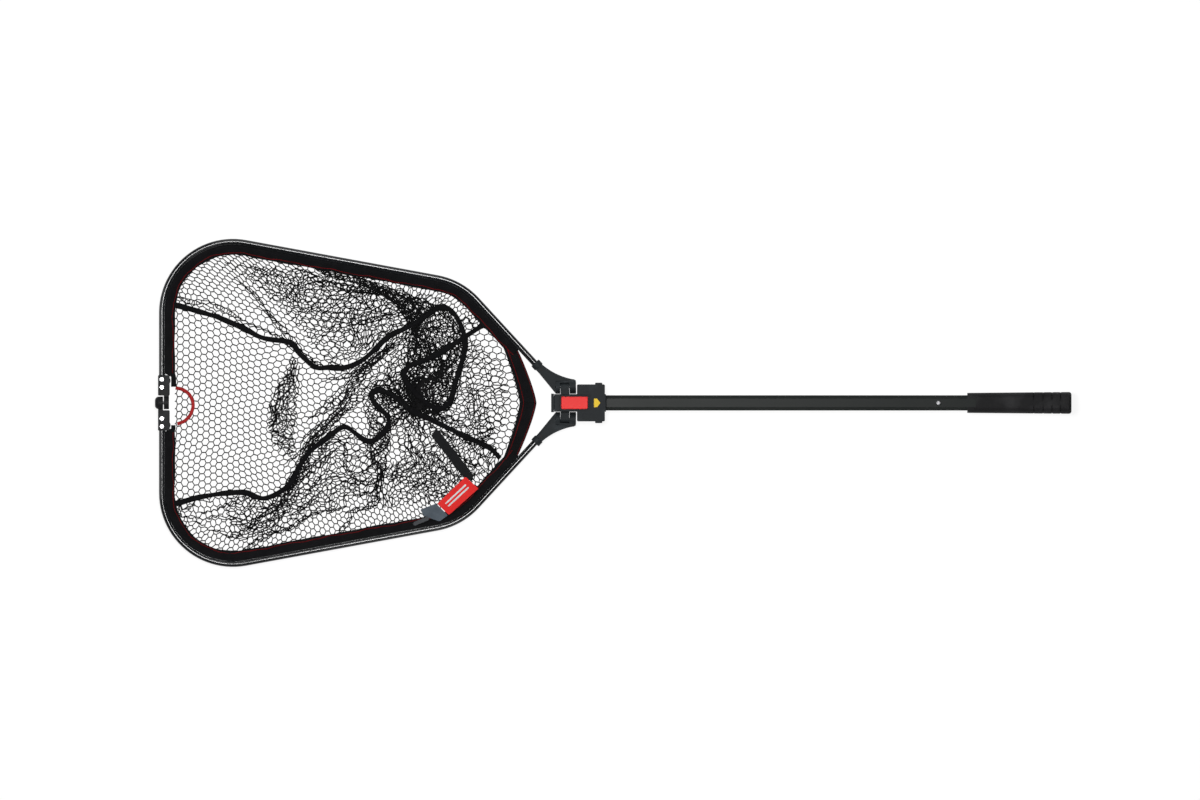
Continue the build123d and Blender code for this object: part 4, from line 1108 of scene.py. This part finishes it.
def make_seam_tape(side_name, route, finishes):
    """Binding tape over the seam between two panels."""
    line = soften(resample(route, ROUTE_POINTS), 2)
    reach = run_length(line)
    across = np.linspace(-0.5, 0.5, SEAM_COLUMNS)
    crown = SEAM_CROWN * (1 - (2 * across) ** 2)
    width = SEAM_WIDTH * (1 + 0.12 * np.sin(reach * 61) + 0.08 * np.sin(reach * 140))
    shift = (width[:, None] * across[None, :])[:, :, None]
    plan = line[:, None, :2] + beside_line(line)[:, None, :] * shift
    z = line[:, 2:3] + crown[None, :] + SEAM_RISE
    points = np.concatenate([plan, z[:, :, None]], axis=2)
    uv = np.stack([np.repeat(reach[:, None], SEAM_COLUMNS, axis=1),
                   np.repeat((across * SEAM_WIDTH)[None], len(line), axis=0)], axis=2)
    tape = strip("seam_binding_" + side_name, points, uv, SEAM_THICK, finishes["seam"])
    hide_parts("seam_tape_" + side_name)
    bend_at_hinge(tape, side_name)


# ---------------------------------------------------------------- lift loop and wrap strap

# In millimetres in plan, from one end at the far rail to the other
LOOP_ROUTE = ((-728, 27), (-716, 25), (-704, 17), (-697, 4), (-696, -8), (-701, -22),
              (-711, -33), (-725, -38))
LOOP_POINTS = 60
LOOP_Z = 0.0042
LOOP_DIP = 0.0008
LOOP_HALF_WIDTH = 0.0029
LOOP_COLUMNS = 5
LOOP_CROWN = 0.0006
LOOP_THICK = 0.0014


def make_lift_loop(finishes):
    """Red webbing loop sewn to the net's far edge, in two halves that part at the centre line."""
    plan = soften(resample(np.array(LOOP_ROUTE, float) * MM, LOOP_POINTS), 10)
    height = LOOP_Z - LOOP_DIP * np.cos(np.linspace(0, 2 * pi, LOOP_POINTS))
    across = np.linspace(-LOOP_HALF_WIDTH, LOOP_HALF_WIDTH, LOOP_COLUMNS)
    crown = LOOP_CROWN * (1 - (across / across[-1]) ** 2)
    grid = plan[:, None, :] + beside_line(plan)[:, None, :] * across[None, :, None]
    grid = np.concatenate([grid, (height[:, None] + crown[None, :])[:, :, None]], axis=2)
    reach = run_length(np.column_stack([plan, height]))
    uv = np.stack([np.repeat(reach[:, None], LOOP_COLUMNS, axis=1),
                   np.repeat(across[None], LOOP_POINTS, axis=0)], axis=2)
    half = int(np.argmin(np.abs(plan[:, 1])))
    for side_name, rows in (("right", slice(0, half + 1)), ("left", slice(half, None))):
        name = "lift_loop_webbing_" + side_name
        webbing = strip(name, grid[rows], uv[rows], LOOP_THICK, finishes["loop"])
        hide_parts("lift_loop")
        bend_at_hinge(webbing, side_name)


PATCH_SPACING = 0.01
PATCH_CUTS = 4
PATCH_BEVEL = 0.00045

# The two directions of the patches' threads
THREAD_ACROSS = Vector((0.62, 0.78))
THREAD_ALONG = Vector((0.78, -0.62))


def cloth_patch(name, corners, bottom, thick, material, rounding):
    """Flat cut piece of cloth or webbing with soft edges and a slight ripple."""
    outline = [Vector((x * MM, y * MM)) for x, y in corners]
    centre = sum(outline, Vector((0, 0))) / len(outline)
    mesh = bpy.data.meshes.new(name)
    shape = bmesh.new()
    shape.faces.new([shape.verts.new((p.x, p.y, bottom * MM)) for p in outline])
    corner_points = list(shape.verts)
    bmesh.ops.bevel(shape, geom=corner_points, offset=rounding * MM, segments=4, affect="VERTICES")
    top = bmesh.ops.extrude_face_region(shape, geom=list(shape.faces))
    raised = [part for part in top["geom"] if isinstance(part, bmesh.types.BMVert)]
    bmesh.ops.translate(shape, vec=(0, 0, thick * MM), verts=raised)
    bmesh.ops.recalc_face_normals(shape, faces=list(shape.faces))
    for normal in (Vector((1, 0, 0)), Vector((0, 1, 0))):
        for step in range(-PATCH_CUTS, PATCH_CUTS + 1):
            spot = centre.to_3d() + normal * (PATCH_SPACING * step)
            everything = list(shape.verts) + list(shape.edges) + list(shape.faces)
            bmesh.ops.bisect_plane(shape, geom=everything, plane_co=spot, plane_no=normal)
    for vertex in shape.verts:
        vertex.co.z += 0.0003 * sin(vertex.co.x * 190) * cos(vertex.co.y * 230)
    layer = shape.loops.layers.uv.new("UVMap")
    for face in shape.faces:
        for loop in face.loops:
            place = loop.vert.co.xy
            loop[layer].uv = (place.dot(THREAD_ACROSS), place.dot(THREAD_ALONG))
    shape.to_mesh(mesh)
    shape.free()
    mesh.materials.append(material)
    piece = bpy.data.objects.new(name, mesh)
    bpy.context.scene.collection.objects.link(piece)
    settings = {"segments": 2, "limit_method": "ANGLE", "angle_limit": 0.7}
    apply_modifier(piece, "BEVEL", width=PATCH_BEVEL, **settings)
    return piece


# The wrap strap's parts, in millimetres in plan
STRAP_ENDS = ((-263.0, -52.0), (-196.5, -137.5))
STRAP_WIDTH = 17.0
LABEL_CORNERS = ((-206.5, -132.8), (-182.5, -154.1), (-235.8, -201.8), (-257.0, -181.6))
TAB_CORNERS = ((-259.2, -181.2), (-237.6, -202.6), (-253.0, -213.4), (-281.0, -203.6),
               (-287.5, -192.0))
TAIL_ENDS = ((-272.0, -207.0), (-300.0, -218.5))
TAIL_WIDTH = 7.0
STRIPES = {"one": (0.30, 0.40), "two": (0.52, 0.62)}
STRIPE_ENDS = (0.14, 0.86)


def band_corners(ends, width):
    """Corners of a straight strap between two places."""
    (x0, y0), (x1, y1) = ends
    length = hypot(x1 - x0, y1 - y0)
    px, py = -(y1 - y0) / length * width / 2, (x1 - x0) / length * width / 2
    return ((x0 + px, y0 + py), (x0 - px, y0 - py), (x1 - px, y1 - py), (x1 + px, y1 + py))


def between(first, second, share):
    """Place part of the way from one corner to another."""
    return tuple(a + (b - a) * share for a, b in zip(first, second))


def label_stripe(low, high):
    """Corners of a plain stripe along the label, between two shares of its width."""
    near, right, far, left = LABEL_CORNERS
    first, second = between(near, right, low), between(near, right, high)
    third, fourth = between(left, far, high), between(left, far, low)
    begin, end = STRIPE_ENDS
    return (between(first, fourth, begin), between(second, third, begin),
            between(second, third, end), between(first, fourth, end))


def make_wrap(finishes):
    """Hook-and-loop strap with its label, tab and tail, on the left wing."""
    strap = band_corners(STRAP_ENDS, STRAP_WIDTH)
    tail = band_corners(TAIL_ENDS, TAIL_WIDTH)
    # Piece, outline, bottom and thickness in millimetres, finish, node, slot, corner radius
    pieces = [
        ("wrap_strap_tape", strap, 12.0, 1.7, "strap", "wrap_strap", "strap_fabric", 3.0),
        ("wrap_label_cloth", LABEL_CORNERS, 13.9, 1.7, "label", "wrap_label", "label_fabric", 1.0),
        ("wrap_tab_cloth", TAB_CORNERS, 13.9, 1.6, "tab", "wrap_tab", "tab_fabric", 1.0),
        ("wrap_tail_tape", tail, 15.8, 1.3, "tail", "wrap_tail", "tab_fabric", 1.5),
    ]
    for which, shares in STRIPES.items():
        name = "wrap_label_stripe_" + which
        corners = label_stripe(*shares)
        pieces.append((name, corners, 15.3, 0.7, "pale_thread", None, "label_fabric", 0.8))
    for name, corners, bottom, thick, finish, node, slot, rounding in pieces:
        piece = cloth_patch(name, corners, bottom, thick, finishes[finish], rounding)
        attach(piece, "left_wing")
        if node:
            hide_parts(node)


make_camera()
finishes = make_materials()
make_studio()
dress_nodes(finishes)
make_springs()
for side_name in SIDES:
    make_band(side_name, finishes)
    make_throat(side_name, finishes)
make_bag(finishes)
make_folds(finishes)
make_lift_loop(finishes)
make_wrap(finishes)
